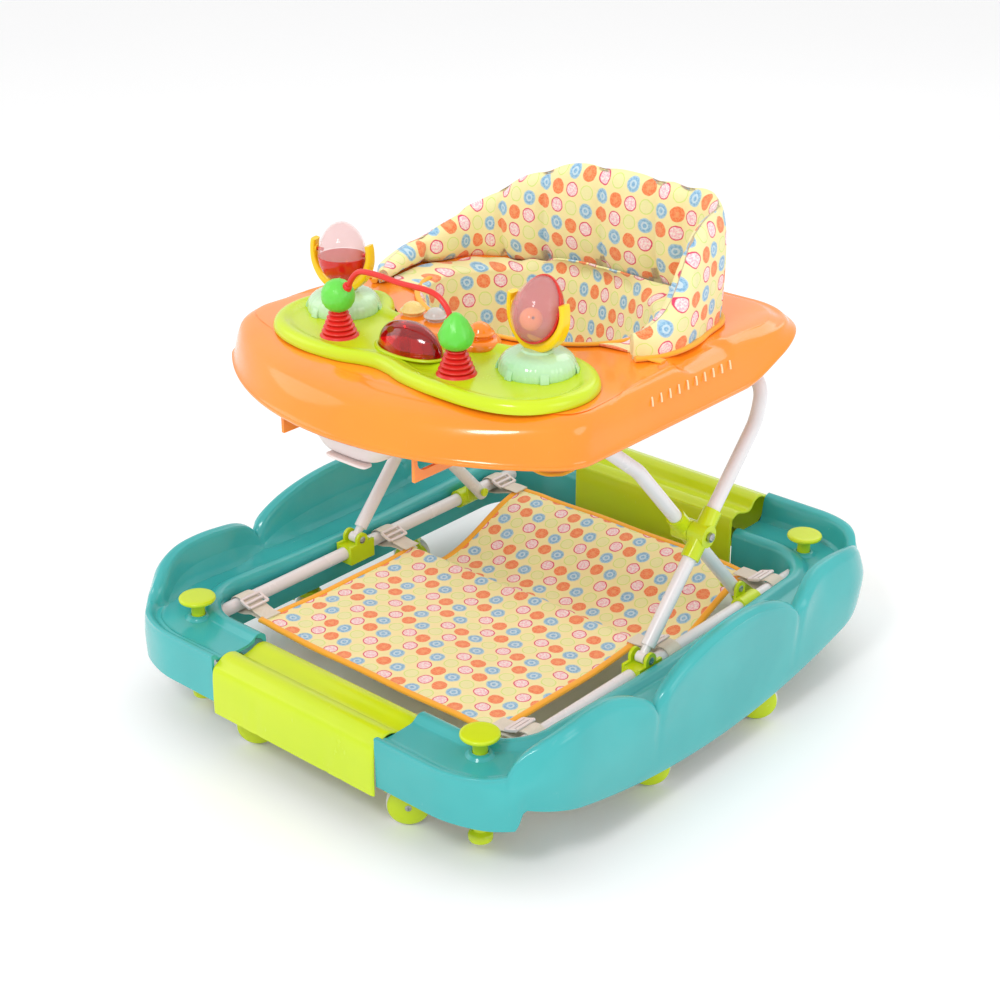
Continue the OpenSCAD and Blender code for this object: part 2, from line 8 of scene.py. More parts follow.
import bmesh
import bpy
import numpy as np
from bpy.props import FloatProperty, FloatVectorProperty, PointerProperty
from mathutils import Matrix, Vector


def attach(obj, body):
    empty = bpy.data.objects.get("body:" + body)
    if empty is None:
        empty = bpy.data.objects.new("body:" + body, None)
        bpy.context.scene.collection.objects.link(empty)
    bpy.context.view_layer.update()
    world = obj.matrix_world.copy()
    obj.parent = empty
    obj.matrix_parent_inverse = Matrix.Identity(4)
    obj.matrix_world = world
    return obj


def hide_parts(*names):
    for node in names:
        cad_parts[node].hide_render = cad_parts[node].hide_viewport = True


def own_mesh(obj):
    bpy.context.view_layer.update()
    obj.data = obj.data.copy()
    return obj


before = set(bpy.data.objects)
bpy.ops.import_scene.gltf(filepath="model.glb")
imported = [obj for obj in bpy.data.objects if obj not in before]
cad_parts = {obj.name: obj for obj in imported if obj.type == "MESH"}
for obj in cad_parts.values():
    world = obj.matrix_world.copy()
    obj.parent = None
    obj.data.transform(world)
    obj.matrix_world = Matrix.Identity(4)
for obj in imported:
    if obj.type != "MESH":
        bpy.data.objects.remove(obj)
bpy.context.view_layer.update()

bl_info = {
    "name": "Folding baby walker",
    "version": (1, 0, 0),
    "blender": (4, 5, 0),
    "location": "3D View > Sidebar > Walker",
    "description": "Builds the shells, toys, fabric and finishes of a folding baby walker round its frame",
    "category": "Add Mesh",
}

MM = 0.001


# ---------- numpy shapes ----------

def ease(v, a, b):
    """Smooth step from 0 at a to 1 at b."""
    t = np.clip((np.asarray(v, float) - a) / (b - a), 0, 1)
    return t * t * (3 - 2 * t)


def bump(y, centre, before, after):
    """Half-ellipse hump over its centre, with its own half-width on each side."""
    y = np.asarray(y, float)
    t = (y - centre) / np.where(y < centre, before, after)
    return np.sqrt(np.maximum(0, 1 - t * t))


def bell(v, centre, width):
    """Bell curve of height 1."""
    return np.exp(-(((np.asarray(v, float) - centre) / width) ** 2))


def refine(points, per, closed=False):
    """Catmull-Rom curve through the points: per steps between neighbours, along the last axis but one."""
    p = np.asarray(points, float)
    if closed:
        a, b, c, d = np.roll(p, 1, -2), p, np.roll(p, -1, -2), np.roll(p, -2, -2)
    else:
        first = 2 * p[..., :1, :] - p[..., 1:2, :]
        last = 2 * p[..., -1:, :] - p[..., -2:-1, :]
        e = np.concatenate([first, p, last], -2)
        a, b, c, d = e[..., :-3, :], e[..., 1:-2, :], e[..., 2:-1, :], e[..., 3:, :]
    t = (np.arange(per) / per)[:, None]
    a, b, c, d = (v[..., None, :] for v in (a, b, c, d))
    out = 0.5 * (2 * b + (c - a) * t + (2 * a - 5 * b + 4 * c - d) * t**2 + (3 * b - a - 3 * c + d) * t**3)
    out = out.reshape(*p.shape[:-2], -1, p.shape[-1])
    return out if closed else np.concatenate([out, p[..., -1:, :]], -2)


def arc(cx, cy, r, a0, a1, n):
    """Points of an arc about (cx, cy), angles in degrees."""
    a = np.radians(np.linspace(a0, a1, n))
    return np.stack([cx + r * np.cos(a), cy + r * np.sin(a)], -1)


def by_station(points, count):
    """A section's points [a, b], whose values may change along the shape, as [station, point, 2]."""
    return np.stack([np.stack([np.broadcast_to(v, count) for v in p], -1) for p in points], 1).astype(float)


def resampled(paths, count):
    """Paths [station, point, 2] with another number of points, evenly spread by index."""
    place = np.linspace(0, paths.shape[1] - 1, count)
    low = np.minimum(place.astype(int), paths.shape[1] - 2)
    share = (place - low)[:, None]
    return paths[:, low] * (1 - share) + paths[:, low + 1] * share


def grid_faces(rows, cols, round_rows=False, round_cols=False):
    """Quads between neighbouring points of a grid stored row by row."""
    i = np.arange(rows if round_rows else rows - 1)[:, None]
    j = np.arange(cols if round_cols else cols - 1)[None, :]
    k, n = (i + 1) % rows, (j + 1) % cols
    corners = np.broadcast_arrays(i * cols + j, i * cols + n, k * cols + n, k * cols + j)
    return np.stack(corners, -1).reshape(-1, 4)


def loft(rings, closed=False, caps="fan"):
    """Solid through rings of points [station, point, xyz], each ring closed.
    caps: "fan" closes an end to its middle, "strip" joins a wall's outer half to its inner half."""
    rings = np.asarray(rings, float)
    m, n = rings.shape[:2]
    verts, faces = rings.reshape(-1, 3), grid_faces(m, n, closed, True).tolist()
    j = np.arange(n)
    k = (j + 1) % n
    if not closed and caps == "fan":
        hub = np.full(n, m * n)
        verts = np.vstack([verts, rings[0].mean(0), rings[-1].mean(0)])
        faces += np.stack([hub, k, j], -1).tolist()
        faces += np.stack([hub + 1, (m - 1) * n + j, (m - 1) * n + k], -1).tolist()
    if not closed and caps == "strip":
        h = np.arange(n // 2 - 1)
        quads = np.stack([h, h + 1, n - 2 - h, n - 1 - h], -1)
        faces += quads[:, ::-1].tolist() + (quads + (m - 1) * n).tolist()
    return verts, faces


def revolve(profile, steps=64, lobes=0, depth=0.0, start=0.0, turn=360.0):
    """Profile of [radius, height] turned about Z, with optional lobes that swell the radius by depth."""
    p = np.asarray(profile, float)
    whole = turn >= 360
    a = np.radians(start + turn * np.arange(steps + (not whole)) / steps)
    r = p[None, :, 0] * (1 + depth * np.cos(lobes * a[:, None]))
    rings = np.stack([r * np.cos(a[:, None]), r * np.sin(a[:, None]), np.broadcast_to(p[:, 1], r.shape)], -1)
    return rings, whole


def turned(profile, steps=64, lobes=0, depth=0.0):
    """Closed solid of revolution: the profile runs from axis to axis."""
    rings, _ = revolve(profile, steps, lobes, depth)
    return rings.reshape(-1, 3), grid_faces(*rings.shape[:2], True, False).tolist()


def frames_along(path, up=(0, 0, 1)):
    """Tangent, side and upward unit vectors at each point of a path, kept level with up."""
    path = np.asarray(path, float)
    t = np.gradient(path, axis=0)
    t /= np.linalg.norm(t, axis=1)[:, None]
    side = np.cross(t, np.asarray(up, float))
    side /= np.maximum(np.linalg.norm(side, axis=1), 1e-9)[:, None]
    return t, side, np.cross(side, t)


def sweep(path, across, height, up=(0, 0, 1), power=1.0, n=16, closed=False):
    """Rounded bar along a path. Its section is a superellipse whose half-sizes may change from point
    to point: |x/across|^(2/power) + |y/height|^(2/power) = 1."""
    path = np.asarray(path, float)
    _, side, top = frames_along(path, up)
    a = 2 * np.pi * np.arange(n) / n
    cx = np.sign(np.cos(a)) * np.abs(np.cos(a)) ** power
    cy = np.sign(np.sin(a)) * np.abs(np.sin(a)) ** power
    w = np.broadcast_to(np.asarray(across, float), len(path))[:, None, None]
    h = np.broadcast_to(np.asarray(height, float), len(path))[:, None, None]
    rings = path[:, None] + side[:, None] * cx[None, :, None] * w + top[:, None] * cy[None, :, None] * h
    return loft(rings, closed)


def joined(*parts):
    """Several (points, faces) shapes as one."""
    points, faces, base = [], [], 0
    for p, f in parts:
        points.append(np.asarray(p, float))
        faces += [[i + base for i in face] for face in f]
        base += len(p)
    return np.vstack(points), faces


def moved(part, at=(0, 0, 0), turn=(0, 0, 0)):
    """A shape turned about X, then Y, then Z by degrees, then moved."""
    points, faces = part
    for axis, degrees in enumerate(turn):
        c, s = math.cos(math.radians(degrees)), math.sin(math.radians(degrees))
        i, j = [(1, 2), (2, 0), (0, 1)][axis]
        u, v = points[:, i].copy(), points[:, j].copy()
        points = points.copy()
        points[:, i], points[:, j] = u * c - v * s, u * s + v * c
    return points + np.asarray(at, float), faces


def mirrored(part):
    """A shape's mirror image in x, its faces turned to point outwards again."""
    points, faces = part
    return points * [-1, 1, 1], [face[::-1] for face in faces]


# ---------- pieces ----------

def settle(mesh, sharp=38.0):
    """Welds doubled points, points the faces outwards and smooths all but the sharp edges."""
    bm = bmesh.new()
    bm.from_mesh(mesh)
    bmesh.ops.remove_doubles(bm, verts=bm.verts, dist=2e-6)
    bmesh.ops.dissolve_degenerate(bm, dist=1e-7, edges=bm.edges)
    bmesh.ops.recalc_face_normals(bm, faces=bm.faces)
    bm.to_mesh(mesh)
    bm.free()
    mesh.shade_smooth()
    mesh.set_sharp_from_angle(angle=math.radians(sharp))


def piece(name, part, body, finish, replaces=(), sharp=38.0, cloth=None):
    """Makes a mesh of a shape in millimetres, gives it its finish and hangs it on its body.
    cloth is each point's place on the flat fabric, in millimetres, for the print and the weave."""
    points, faces = part
    mesh = bpy.data.meshes.new(name)
    mesh.from_pydata((np.asarray(points) * MM).tolist(), [], faces)
    if cloth is not None:
        flat = np.zeros((len(points), 3), np.float32)
        flat[:, :2] = np.asarray(cloth) * MM
        mesh.attributes.new("cloth", "FLOAT_VECTOR", "POINT").data.foreach_set("vector", flat.ravel())
    settle(mesh, sharp)
    mesh.materials.append(finish)
    obj = bpy.data.objects.new(name, mesh)
    bpy.context.scene.collection.objects.link(obj)
    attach(obj, body)
    if replaces:
        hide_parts(*replaces)
    return obj


def rounded(name, node, body, finish, width=0.9):
    """A welded copy of a CAD node with its edges rounded, which stands for the node."""
    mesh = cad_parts[node].data.copy()
    mesh.name = name
    bm = bmesh.new()
    bm.from_mesh(mesh)
    bmesh.ops.remove_doubles(bm, verts=bm.verts, dist=1e-5)
    bmesh.ops.dissolve_limit(bm, angle_limit=math.radians(1), verts=bm.verts, edges=bm.edges)
    bm.to_mesh(mesh)
    bm.free()
    mesh.materials.clear()
    mesh.materials.append(finish)
    mesh.shade_smooth()
    mesh.set_sharp_from_angle(angle=math.radians(38))
    obj = bpy.data.objects.new(name, mesh)
    bpy.context.scene.collection.objects.link(obj)
    bevel = obj.modifiers.new("edges", "BEVEL")
    bevel.width, bevel.segments, bevel.limit_method = width * MM, 2, "ANGLE"
    bevel.angle_limit = math.radians(40)
    bevel.use_clamp_overlap = True
    bevel.harden_normals = True
    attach(obj, body)
    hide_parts(node)
    return obj


# ---------- finishes ----------

class Wires:
    """Adds and links shader nodes in one tree."""

    def __init__(self, tree):
        self.tree = tree

    def add(self, kind, inputs=None, **settings):
        node = self.tree.nodes.new("ShaderNode" + kind)
        for key, value in settings.items():
            setattr(node, key, value)
        for key, value in (inputs or {}).items():
            self.feed(node.inputs[key], value)
        return node

    def feed(self, socket, value):
        if isinstance(value, bpy.types.NodeSocket):
            self.tree.links.new(value, socket)
        elif hasattr(socket.default_value, "__len__") and not hasattr(value, "__len__"):
            socket.default_value = [value] * len(socket.default_value)
        else:
            socket.default_value = value

    def math(self, operation, a, b=0.0, c=0.0):
        return self.add("Math", {0: a, 1: b, 2: c}, operation=operation).outputs[0]

    def mix(self, share, a, b, blend="MIX"):
        node = self.add("Mix", data_type="RGBA", blend_type=blend)
        for index, value in ((0, share), (6, a), (7, b)):
            self.feed(node.inputs[index], value)
        return node.outputs[2]

    def ramp(self, value, stops, interpolation="LINEAR"):
        node = self.add("ValToRGB", {0: value})
        elements = node.color_ramp.elements
        node.color_ramp.interpolation = interpolation
        while len(elements) < len(stops):
            elements.new(0.5)
        for element, (place, colour) in zip(elements, stops):
            element.position, element.color = place, colour
        return node.outputs[0]

    def noise(self, vector, scale, detail=2.0, rough=0.5):
        values = {"Vector": vector, "Scale": scale, "Detail": detail, "Roughness": rough}
        return self.add("TexNoise", values).outputs["Fac"]


def linear(colour):
    """Screen colour 0..255 as the linear colour that shaders use."""
    c = np.asarray(colour, float) / 255
    return (*np.where(c <= 0.04045, c / 12.92, ((c + 0.055) / 1.055) ** 2.4).tolist(), 1.0)


def grey(value):
    return (value, value, value, 1.0)


def group(name, inputs, outputs):
    """A new shader group with its input and output nodes: inputs are (name, kind, default)."""
    tree = bpy.data.node_groups.new(name, "ShaderNodeTree")
    for label, kind, default in inputs:
        socket = tree.interface.new_socket(name=label, in_out="INPUT", socket_type="NodeSocket" + kind)
        if default is not None:
            socket.default_value = default
    for label, kind in outputs:
        tree.interface.new_socket(name=label, in_out="OUTPUT", socket_type="NodeSocket" + kind)
    return Wires(tree), tree.nodes.new("NodeGroupInput").outputs, tree.nodes.new("NodeGroupOutput").inputs


def moulded_skin():
    """Group: slow colour drift, fine moulding ripple, rubbed patches and faint scuffs of moulded plastic."""
    if "Moulded skin" in bpy.data.node_groups:
        return bpy.data.node_groups["Moulded skin"]
    inputs = [("Colour", "Color", None), ("Deep", "Color", None), ("Roughness", "Float", 0.3),
              ("Drift", "Float", 0.3), ("Scuffs", "Float", 0.5)]
    w, given, out = group("Moulded skin", inputs, [("Colour", "Color"), ("Roughness", "Float"),
                                                   ("Height", "Float")])
    place = w.add("TexCoord").outputs["Object"]
    drift = w.noise(place, 7.0, 3.0)
    share = w.math("MULTIPLY", w.ramp(drift, [(0.38, grey(0)), (0.66, grey(1))]), given["Drift"])
    colour = w.mix(share, given["Colour"], given["Deep"])
    stretched = w.add("Mapping", {"Vector": place, "Scale": (260.0, 9.0, 60.0), "Rotation": (0.3, 0.5, 0.9)})
    scratch = w.ramp(w.noise(stretched.outputs[0], 1.0, 3.0, 0.7), [(0.66, grey(0)), (0.72, grey(1))])
    rubbed = w.ramp(w.noise(place, 22.0, 4.0, 0.6), [(0.45, grey(0)), (0.75, grey(1))])
    scuff = w.math("MULTIPLY", w.math("MULTIPLY", scratch, rubbed), given["Scuffs"])
    smear = w.math("MULTIPLY", rubbed, 0.10)
    rough = w.math("ADD", w.math("ADD", given["Roughness"], smear), w.math("MULTIPLY", scuff, 0.25))
    colour = w.mix(w.math("MULTIPLY", scuff, 0.12), colour, grey(0.9))
    ripple = w.noise(place, 420.0, 2.0)
    wave = w.noise(place, 28.0, 1.0)
    height = w.math("ADD", w.math("MULTIPLY", ripple, 0.06), w.math("MULTIPLY", wave, 0.55))
    w.feed(out["Colour"], colour)
    w.feed(out["Roughness"], rough)
    w.feed(out["Height"], w.math("SUBTRACT", height, w.math("MULTIPLY", scuff, 0.05)))
    return w.tree


def cloth_relief():
    """Group: plain weave, slubs and small puckers, from the fabric's own flat coordinates. Its second output
    darkens the colour: painted shade between the weave's threads, with the slubs' own tone.
    """
    if "Cloth relief" in bpy.data.node_groups:
        return bpy.data.node_groups["Cloth relief"]
    inputs = [("Flat", "Vector", None), ("Pitch", "Float", 0.0012), ("Puckers", "Float", 1.0)]
    w, given, out = group("Cloth relief", inputs, [("Height", "Float"), ("Weave shade and slub tone", "Float")])
    parts = w.add("SeparateXYZ", {0: given["Flat"]}).outputs
    turns = w.math("DIVIDE", 2 * math.pi, given["Pitch"])
    warp = w.math("SINE", w.math("MULTIPLY", parts[0], turns))
    weft = w.math("SINE", w.math("MULTIPLY", parts[1], turns))
    weave = w.math("MULTIPLY", warp, weft)
    slub = w.noise(w.add("Mapping", {"Vector": given["Flat"], "Scale": (90.0, 900.0, 1.0)}).outputs[0],
                   1.0, 2.0)
    pucker = w.noise(w.add("Mapping", {"Vector": given["Flat"], "Scale": (34.0, 15.0, 1.0)}).outputs[0],
                     1.0, 3.0, 0.6)
    puckers = w.math("MULTIPLY", pucker, given["Puckers"])
    height = w.math("ADD", w.math("MULTIPLY", weave, 0.00011), w.math("MULTIPLY", puckers, 0.0042))
    w.feed(out["Height"], w.math("ADD", height, w.math("MULTIPLY", slub, 0.00012)))
    # Painted shade of the weave's threads, plus the slubs' own tone
    w.feed(out["Weave shade and slub tone"], w.math("ADD", w.math("MULTIPLY", weave, 0.5), slub))
    return w.tree


def printed_discs():
    """Group: small ringed discs on a square grid, in four kinds that take turns.
    A disc's edge wobbles, and each kind has its own colours from the middle out."""
    if "Printed discs" in bpy.data.node_groups:
        return bpy.data.node_groups["Printed discs"]
    inputs = [("Flat", "Vector", None), ("Pitch", "Float", 0.021)]
    w, given, out = group("Printed discs", inputs, [("Colour", "Color")])
    parts = w.add("SeparateXYZ", {0: given["Flat"]}).outputs
    row_v = w.math("DIVIDE", parts[1], given["Pitch"])
    row = w.math("FLOOR", row_v)
    col_u = w.math("DIVIDE", parts[0], given["Pitch"])
    col = w.math("FLOOR", col_u)
    u = w.math("SUBTRACT", w.math("SUBTRACT", col_u, col), 0.5)
    v = w.math("SUBTRACT", w.math("SUBTRACT", row_v, row), 0.5)
    wobble = w.math("MULTIPLY", w.math("SUBTRACT", w.noise(given["Flat"], 130.0, 2.0), 0.5), 0.11)
    radius = w.math("SQRT", w.math("ADD", w.math("MULTIPLY", u, u), w.math("MULTIPLY", v, v)))
    radius = w.math("ADD", radius, wobble)
    jump = w.math("MULTIPLY", w.math("FLOOR", w.math("MULTIPLY", row, 0.5)), 3.0)
    kind = w.math("FLOORED_MODULO", w.math("ADD", jump, w.math("ADD", col, w.math("MULTIPLY", row, 2.0))),
                  4.0)
    strokes = w.ramp(w.noise(given["Flat"], 420.0, 3.0, 0.7), [(0.47, grey(0)), (0.53, grey(1))])
    cream = linear((250, 238, 176))
    pink = w.mix(strokes, linear((249, 190, 204)), linear((253, 240, 236)))
    crimson = linear((228, 74, 112))
    amber = w.mix(strokes, linear((247, 128, 78)), linear((250, 158, 104)))
    sky = w.mix(strokes, linear((128, 178, 216)), linear((160, 204, 230)))
    leaf = linear((222, 236, 138))
    middle = w.ramp(radius, [(0.10, grey(0)), (0.13, grey(1)), (0.20, grey(1)), (0.23, grey(0))])
    rim = w.ramp(radius, [(0.335, grey(0)), (0.355, grey(1))])
    inside = w.ramp(radius, [(0.40, grey(1)), (0.42, grey(0))])
    kinds = [
        w.mix(rim, pink, crimson),
        w.mix(w.ramp(radius, [(0.05, grey(0.6)), (0.2, grey(0))]), amber, linear((252, 178, 120))),
        w.mix(w.math("MAXIMUM", w.math("MULTIPLY", middle, 0.8), w.math("MULTIPLY", rim, 0.35)), sky,
              linear((212, 232, 240))),
        w.mix(rim, linear((243, 240, 178)), leaf),
    ]
    disc = kinds[0]
    for index, colour in enumerate(kinds[1:], 1):
        here = w.math("COMPARE", kind, float(index), 0.4)
        disc = w.mix(here, disc, colour)
    w.feed(out["Colour"], w.mix(inside, cream, disc))
    return w.tree


def new_finish(name):
    """An empty material with its Principled shader, as (material, wires, shader)."""
    material = bpy.data.materials.new(name)
    material.use_nodes = True
    w = Wires(material.node_tree)
    return material, w, material.node_tree.nodes["Principled BSDF"]


def set_sockets(w, shader, **values):
    """Sets plain values on the shader's own sockets; an underscore in a name stands for a space."""
    for key, value in values.items():
        w.feed(shader.inputs[key.replace("_", " ")], value)


def plastic(name, colour, deep, rough=0.22, drift=0.35, scuffs=0.5, relief=0.0009, **more):
    """Glossy moulded plastic."""
    material, w, shader = new_finish(name)
    skin = w.add("Group", node_tree=moulded_skin())
    for key, value in (("Colour", linear(colour)), ("Deep", linear(deep)), ("Roughness", rough),
                       ("Drift", drift), ("Scuffs", scuffs)):
        w.feed(skin.inputs[key], value)
    w.feed(shader.inputs["Base Color"], skin.outputs["Colour"])
    w.feed(shader.inputs["Roughness"], skin.outputs["Roughness"])
    relief = w.add("Bump", {"Height": skin.outputs["Height"], "Distance": relief, "Strength": 0.6})
    w.feed(shader.inputs["Normal"], relief.outputs[0])
    set_sockets(w, shader, **more)
    return material


def fabric(name, colour=None, pitch=0.0012, puckers=1.0):
    """Woven cloth: the disc print, or one colour, darkened by painted shade of the weave and by the slubs'
    own tone.
    """
    material, w, shader = new_finish(name)
    flat = w.add("Attribute", attribute_name="cloth", attribute_type="GEOMETRY").outputs["Vector"]
    relief = w.add("Group", {"Flat": flat, "Pitch": pitch, "Puckers": puckers}, node_tree=cloth_relief())
    if colour is None:
        print_ = w.add("Group", node_tree=printed_discs())
        w.feed(print_.inputs["Flat"], flat)
        base = print_.outputs["Colour"]
    else:
        base = linear(colour)
    # Painted weave shade with the slubs' tone, multiplied into the colour
    weave_shade_and_slub_tone = w.math("MULTIPLY", relief.outputs["Weave shade and slub tone"], 0.14)
    w.feed(shader.inputs["Base Color"], w.mix(weave_shade_and_slub_tone, base, grey(0.55), "MULTIPLY"))
    bump_node = w.add("Bump", {"Height": relief.outputs["Height"], "Distance": 1.0, "Strength": 0.8})
    w.feed(shader.inputs["Normal"], bump_node.outputs[0])
    set_sockets(w, shader, Roughness=0.86, Sheen_Weight=0.25, Sheen_Roughness=0.5, Specular_IOR_Level=0.25)
    return material


def webbing(name, colour):
    """Ribbed woven strap, from Object coordinates."""
    material, w, shader = new_finish(name)
    place = w.add("TexCoord").outputs["Object"]
    ribs = w.add("TexWave", {"Vector": place, "Scale": 330.0, "Distortion": 1.0}, bands_direction="DIAGONAL")
    soil = w.noise(place, 60.0, 3.0)
    w.feed(shader.inputs["Base Color"], w.mix(w.math("MULTIPLY", soil, 0.3), linear(colour),
                                              linear((176, 164, 144))))
    bump_node = w.add("Bump", {"Height": ribs.outputs["Fac"], "Distance": 0.0004, "Strength": 0.7})
    w.feed(shader.inputs["Normal"], bump_node.outputs[0])
    set_sockets(w, shader, Roughness=0.8, Sheen_Weight=0.2)
    return material


def zinc(name):
    """Zinc-plated steel with a fine turned grain."""
    material, w, shader = new_finish(name)
    place = w.add("TexCoord").outputs["Object"]
    grain = w.noise(w.add("Mapping", {"Vector": place, "Scale": (60.0, 900.0, 900.0)}).outputs[0], 1.0, 3.0)
    tone = w.noise(place, 150.0, 2.0)
    w.feed(shader.inputs["Base Color"], w.mix(tone, linear((196, 198, 202)), linear((150, 152, 150))))
    w.feed(shader.inputs["Roughness"], w.math("ADD", w.math("MULTIPLY", grain, 0.25), 0.2))
    set_sockets(w, shader, Metallic=1.0)
    return material


def finishes(colours):
    """All the finishes of the walker by name: each one's maker, its screen colour and deeper colour,
    and what differs from the usual."""
    return {
        "teal_plastic": plastic("teal_plastic", colours["teal"], (28, 144, 146), 0.15),
        "lime_plastic": plastic("lime_plastic", colours["lime"], (176, 210, 12), 0.2),
        "orange_plastic": plastic("orange_plastic", colours["orange"], (250, 122, 14), 0.14,
                                  Coat_Weight=0.35),
        "white_tube": plastic("white_tube", (232, 230, 232), (214, 208, 210), 0.24, relief=0.0003),
        "white_plastic": plastic("white_plastic", (232, 222, 220), (214, 200, 198), 0.34),
        "red_plastic": plastic("red_plastic", (228, 44, 36), (190, 18, 20), 0.28),
        "mint_plastic": plastic("mint_plastic", (208, 242, 200), (178, 230, 180), 0.12, drift=0.8,
                                Coat_Weight=0.4,
                                Transmission_Weight=0.12),
        "yellow_plastic": plastic("yellow_plastic", (250, 210, 20), (236, 172, 4), 0.18),
        "cream_plastic": plastic("cream_plastic", (250, 222, 140), (246, 204, 110), 0.2,
                                 Transmission_Weight=0.1),
        "grey_plastic": plastic("grey_plastic", (212, 206, 200), (190, 184, 180), 0.2,
                                Transmission_Weight=0.1),
        "green_plastic": plastic("green_plastic", (104, 214, 72), (70, 184, 52), 0.30),
        "wheel_plastic": plastic("wheel_plastic", (230, 228, 222), (206, 204, 198), 0.45, scuffs=1.0),
        "red_clear": plastic("red_clear", (214, 16, 14), (160, 4, 8), 0.05, relief=0.0002, scuffs=0.2,
                             Transmission_Weight=0.75, IOR=1.49, Coat_Weight=0.4),
        "egg_clear": plastic("egg_clear", (240, 196, 194), (244, 176, 176), 0.05, relief=0.0001, scuffs=0.1,
                             Alpha=0.24, Coat_Weight=0.2),
        "egg_red": plastic("egg_red", (226, 40, 30), (196, 16, 12), 0.08, relief=0.0002, scuffs=0.2,
                           Alpha=0.82,
                           Coat_Weight=0.3),
        # Pale finish of the vent ticks: painted highlight where light catches the vent slots
        "vent_highlight": plastic("vent_highlight", (255, 220, 176), (252, 206, 150), 0.4),
        "stem": plastic("stem", (70, 40, 26), (40, 22, 14), 0.5),
        "steel": zinc("steel"),
        "printed_fabric": fabric("printed_fabric"),
        "binding": fabric("binding", (250, 178, 52), 0.0009, 0.25),
        "webbing": webbing("webbing", (232, 224, 208)),
    }


FINISHES = {}


def finish(name):
    """The finish of that name, all of them made on the first call."""
    if not FINISHES:
        look = bpy.context.scene.walker_look
        colours = {"teal": look.teal, "lime": look.lime, "orange": look.orange}
        FINISHES.update(finishes({key: np.array(colour) * 255 for key, colour in colours.items()}))
    return FINISHES[name]


def make(name, part, body, look, replaces=(), sharp=38.0, cloth=None):
    """A piece with the finish that goes with look."""
    return piece(name, part, body, finish(look), replaces, sharp, cloth)


# ---------- base ----------

HALF_W, SIDE_END, DECK = 308.0, 124.0, 116.0
STOPPER = (215, 294)


def side_outlines():
    """Outer and inner outlines of a side shell, matched point by point from front end to rear end."""
    def outline(y_end, cx, cy, r, wall_x):
        front = np.stack([np.linspace(SIDE_END, cx, 14), np.full(14, -y_end)], -1)
        corner = arc(cx, -cy, r, -90, 0, 44)
        wall = np.stack([np.full(120, wall_x), np.linspace(-cy, cy, 120)], -1)
        half = [front, corner[1:], wall[1:]]
        back = np.concatenate([front, corner[1:]])[::-1] * [1, -1]
        return np.concatenate(half + [back[1:]])
    return outline(352, 198, 242, 110, HALF_W), outline(274, 176, 214, 60, 236.0)


def rim_height(y):
    """Height of the wall's rim: the tallest of three humps that overlap like clouds,
    and the corner's own rim."""
    corner = 118 + 30 * ease(y, 290, 345)
    lower = 124 + 42 * bump(np.abs(y), 225, 98, 95)
    middle = 122 + 56 * bump(y, 20, 150, 115)
    return np.maximum(np.maximum(corner, lower), middle)


def side_shell():
    """One side shell: a thin wall whose section, in from the outline and up, changes along the outline.
    The humps' creases run down the outer face and fade, and the corners stand a little proud.
    The deck dips 6 mm in the middle, where the frame's own side shell rises 14 mm."""
    outer, inner = side_outlines()
    y = outer[:, 1]
    r, d = rim_height(y), DECK - 6 * np.maximum(0, 1 - (y / 230) ** 2)
    rocker = 38 + y * y / 1900
    low = rocker + (66 - rocker) * ease(np.abs(y), 307, 315)
    across = inner - outer
    w = np.linalg.norm(across, axis=1)
    flare = 1 - 0.85 * ease(np.abs(y), 285, 335)
    lean = 12 * ease(np.abs(y), 130, 200) * (1 - ease(np.abs(y), 300, 340))
    proud = 2.6 * ease(np.abs(y), 309, 316) * (1 - ease(np.abs(y), 330, 350))
    crease = bell(y, -124, 6) + bell(y, 134, 6)
    mid, o = (low + r) / 2, np.zeros_like(y)
    fade = 3.6 * crease
    outside = [[o - proud, low], [-2 * flare - proud, low + 12], [-4 * flare - proud + 0.3 * fade, mid],
               [lean * 0.8 - 8 * flare - proud * 0.7 + fade, r - 12], [lean - 6 * flare + fade, r - 4],
               [lean - 1 + 0.5 * fade, r + 0.2], [lean + 5, r - 0.6], [lean + 10, r - 6],
               [lean + 15, d + 1.5],
               [lean + 21, d], [w - 26, d + 0.4], [w - 20, d + 3], [w - 14, d + 6.6], [w - 7, d + 6.6],
               [w - 1, d + 2.4], [w, d - 5], [w, d - 14], [w, 64 + o]]
    inside = [[w - 3, 64 + o], [w - 3, d - 8], [w - 14, d + 3.2], [w - 21, d - 2.5], [lean + 21, d - 3.6],
              [lean + 7, r - 7.5], [lean + 3.5 - 4 * flare, r - 6], [lean + 3.5 - 8 * flare, r - 13],
              [3 - 4 * flare, mid], [3 + o, low]]
    walls = [refine(by_station(side, len(y)), 4) for side in (outside, inside)]
    section = np.concatenate([walls[0], resampled(walls[1], walls[0].shape[1])], 1)
    unit = (across / w[:, None])[:, None]
    rings = np.concatenate([outer[:, None] + unit * section[..., :1], section[..., 1:]], -1)
    return rings


def side_part():
    """The side shell's rings as a closed solid: its two ends are walled off from outer to inner face."""
    return loft(side_shell(), caps="strip")


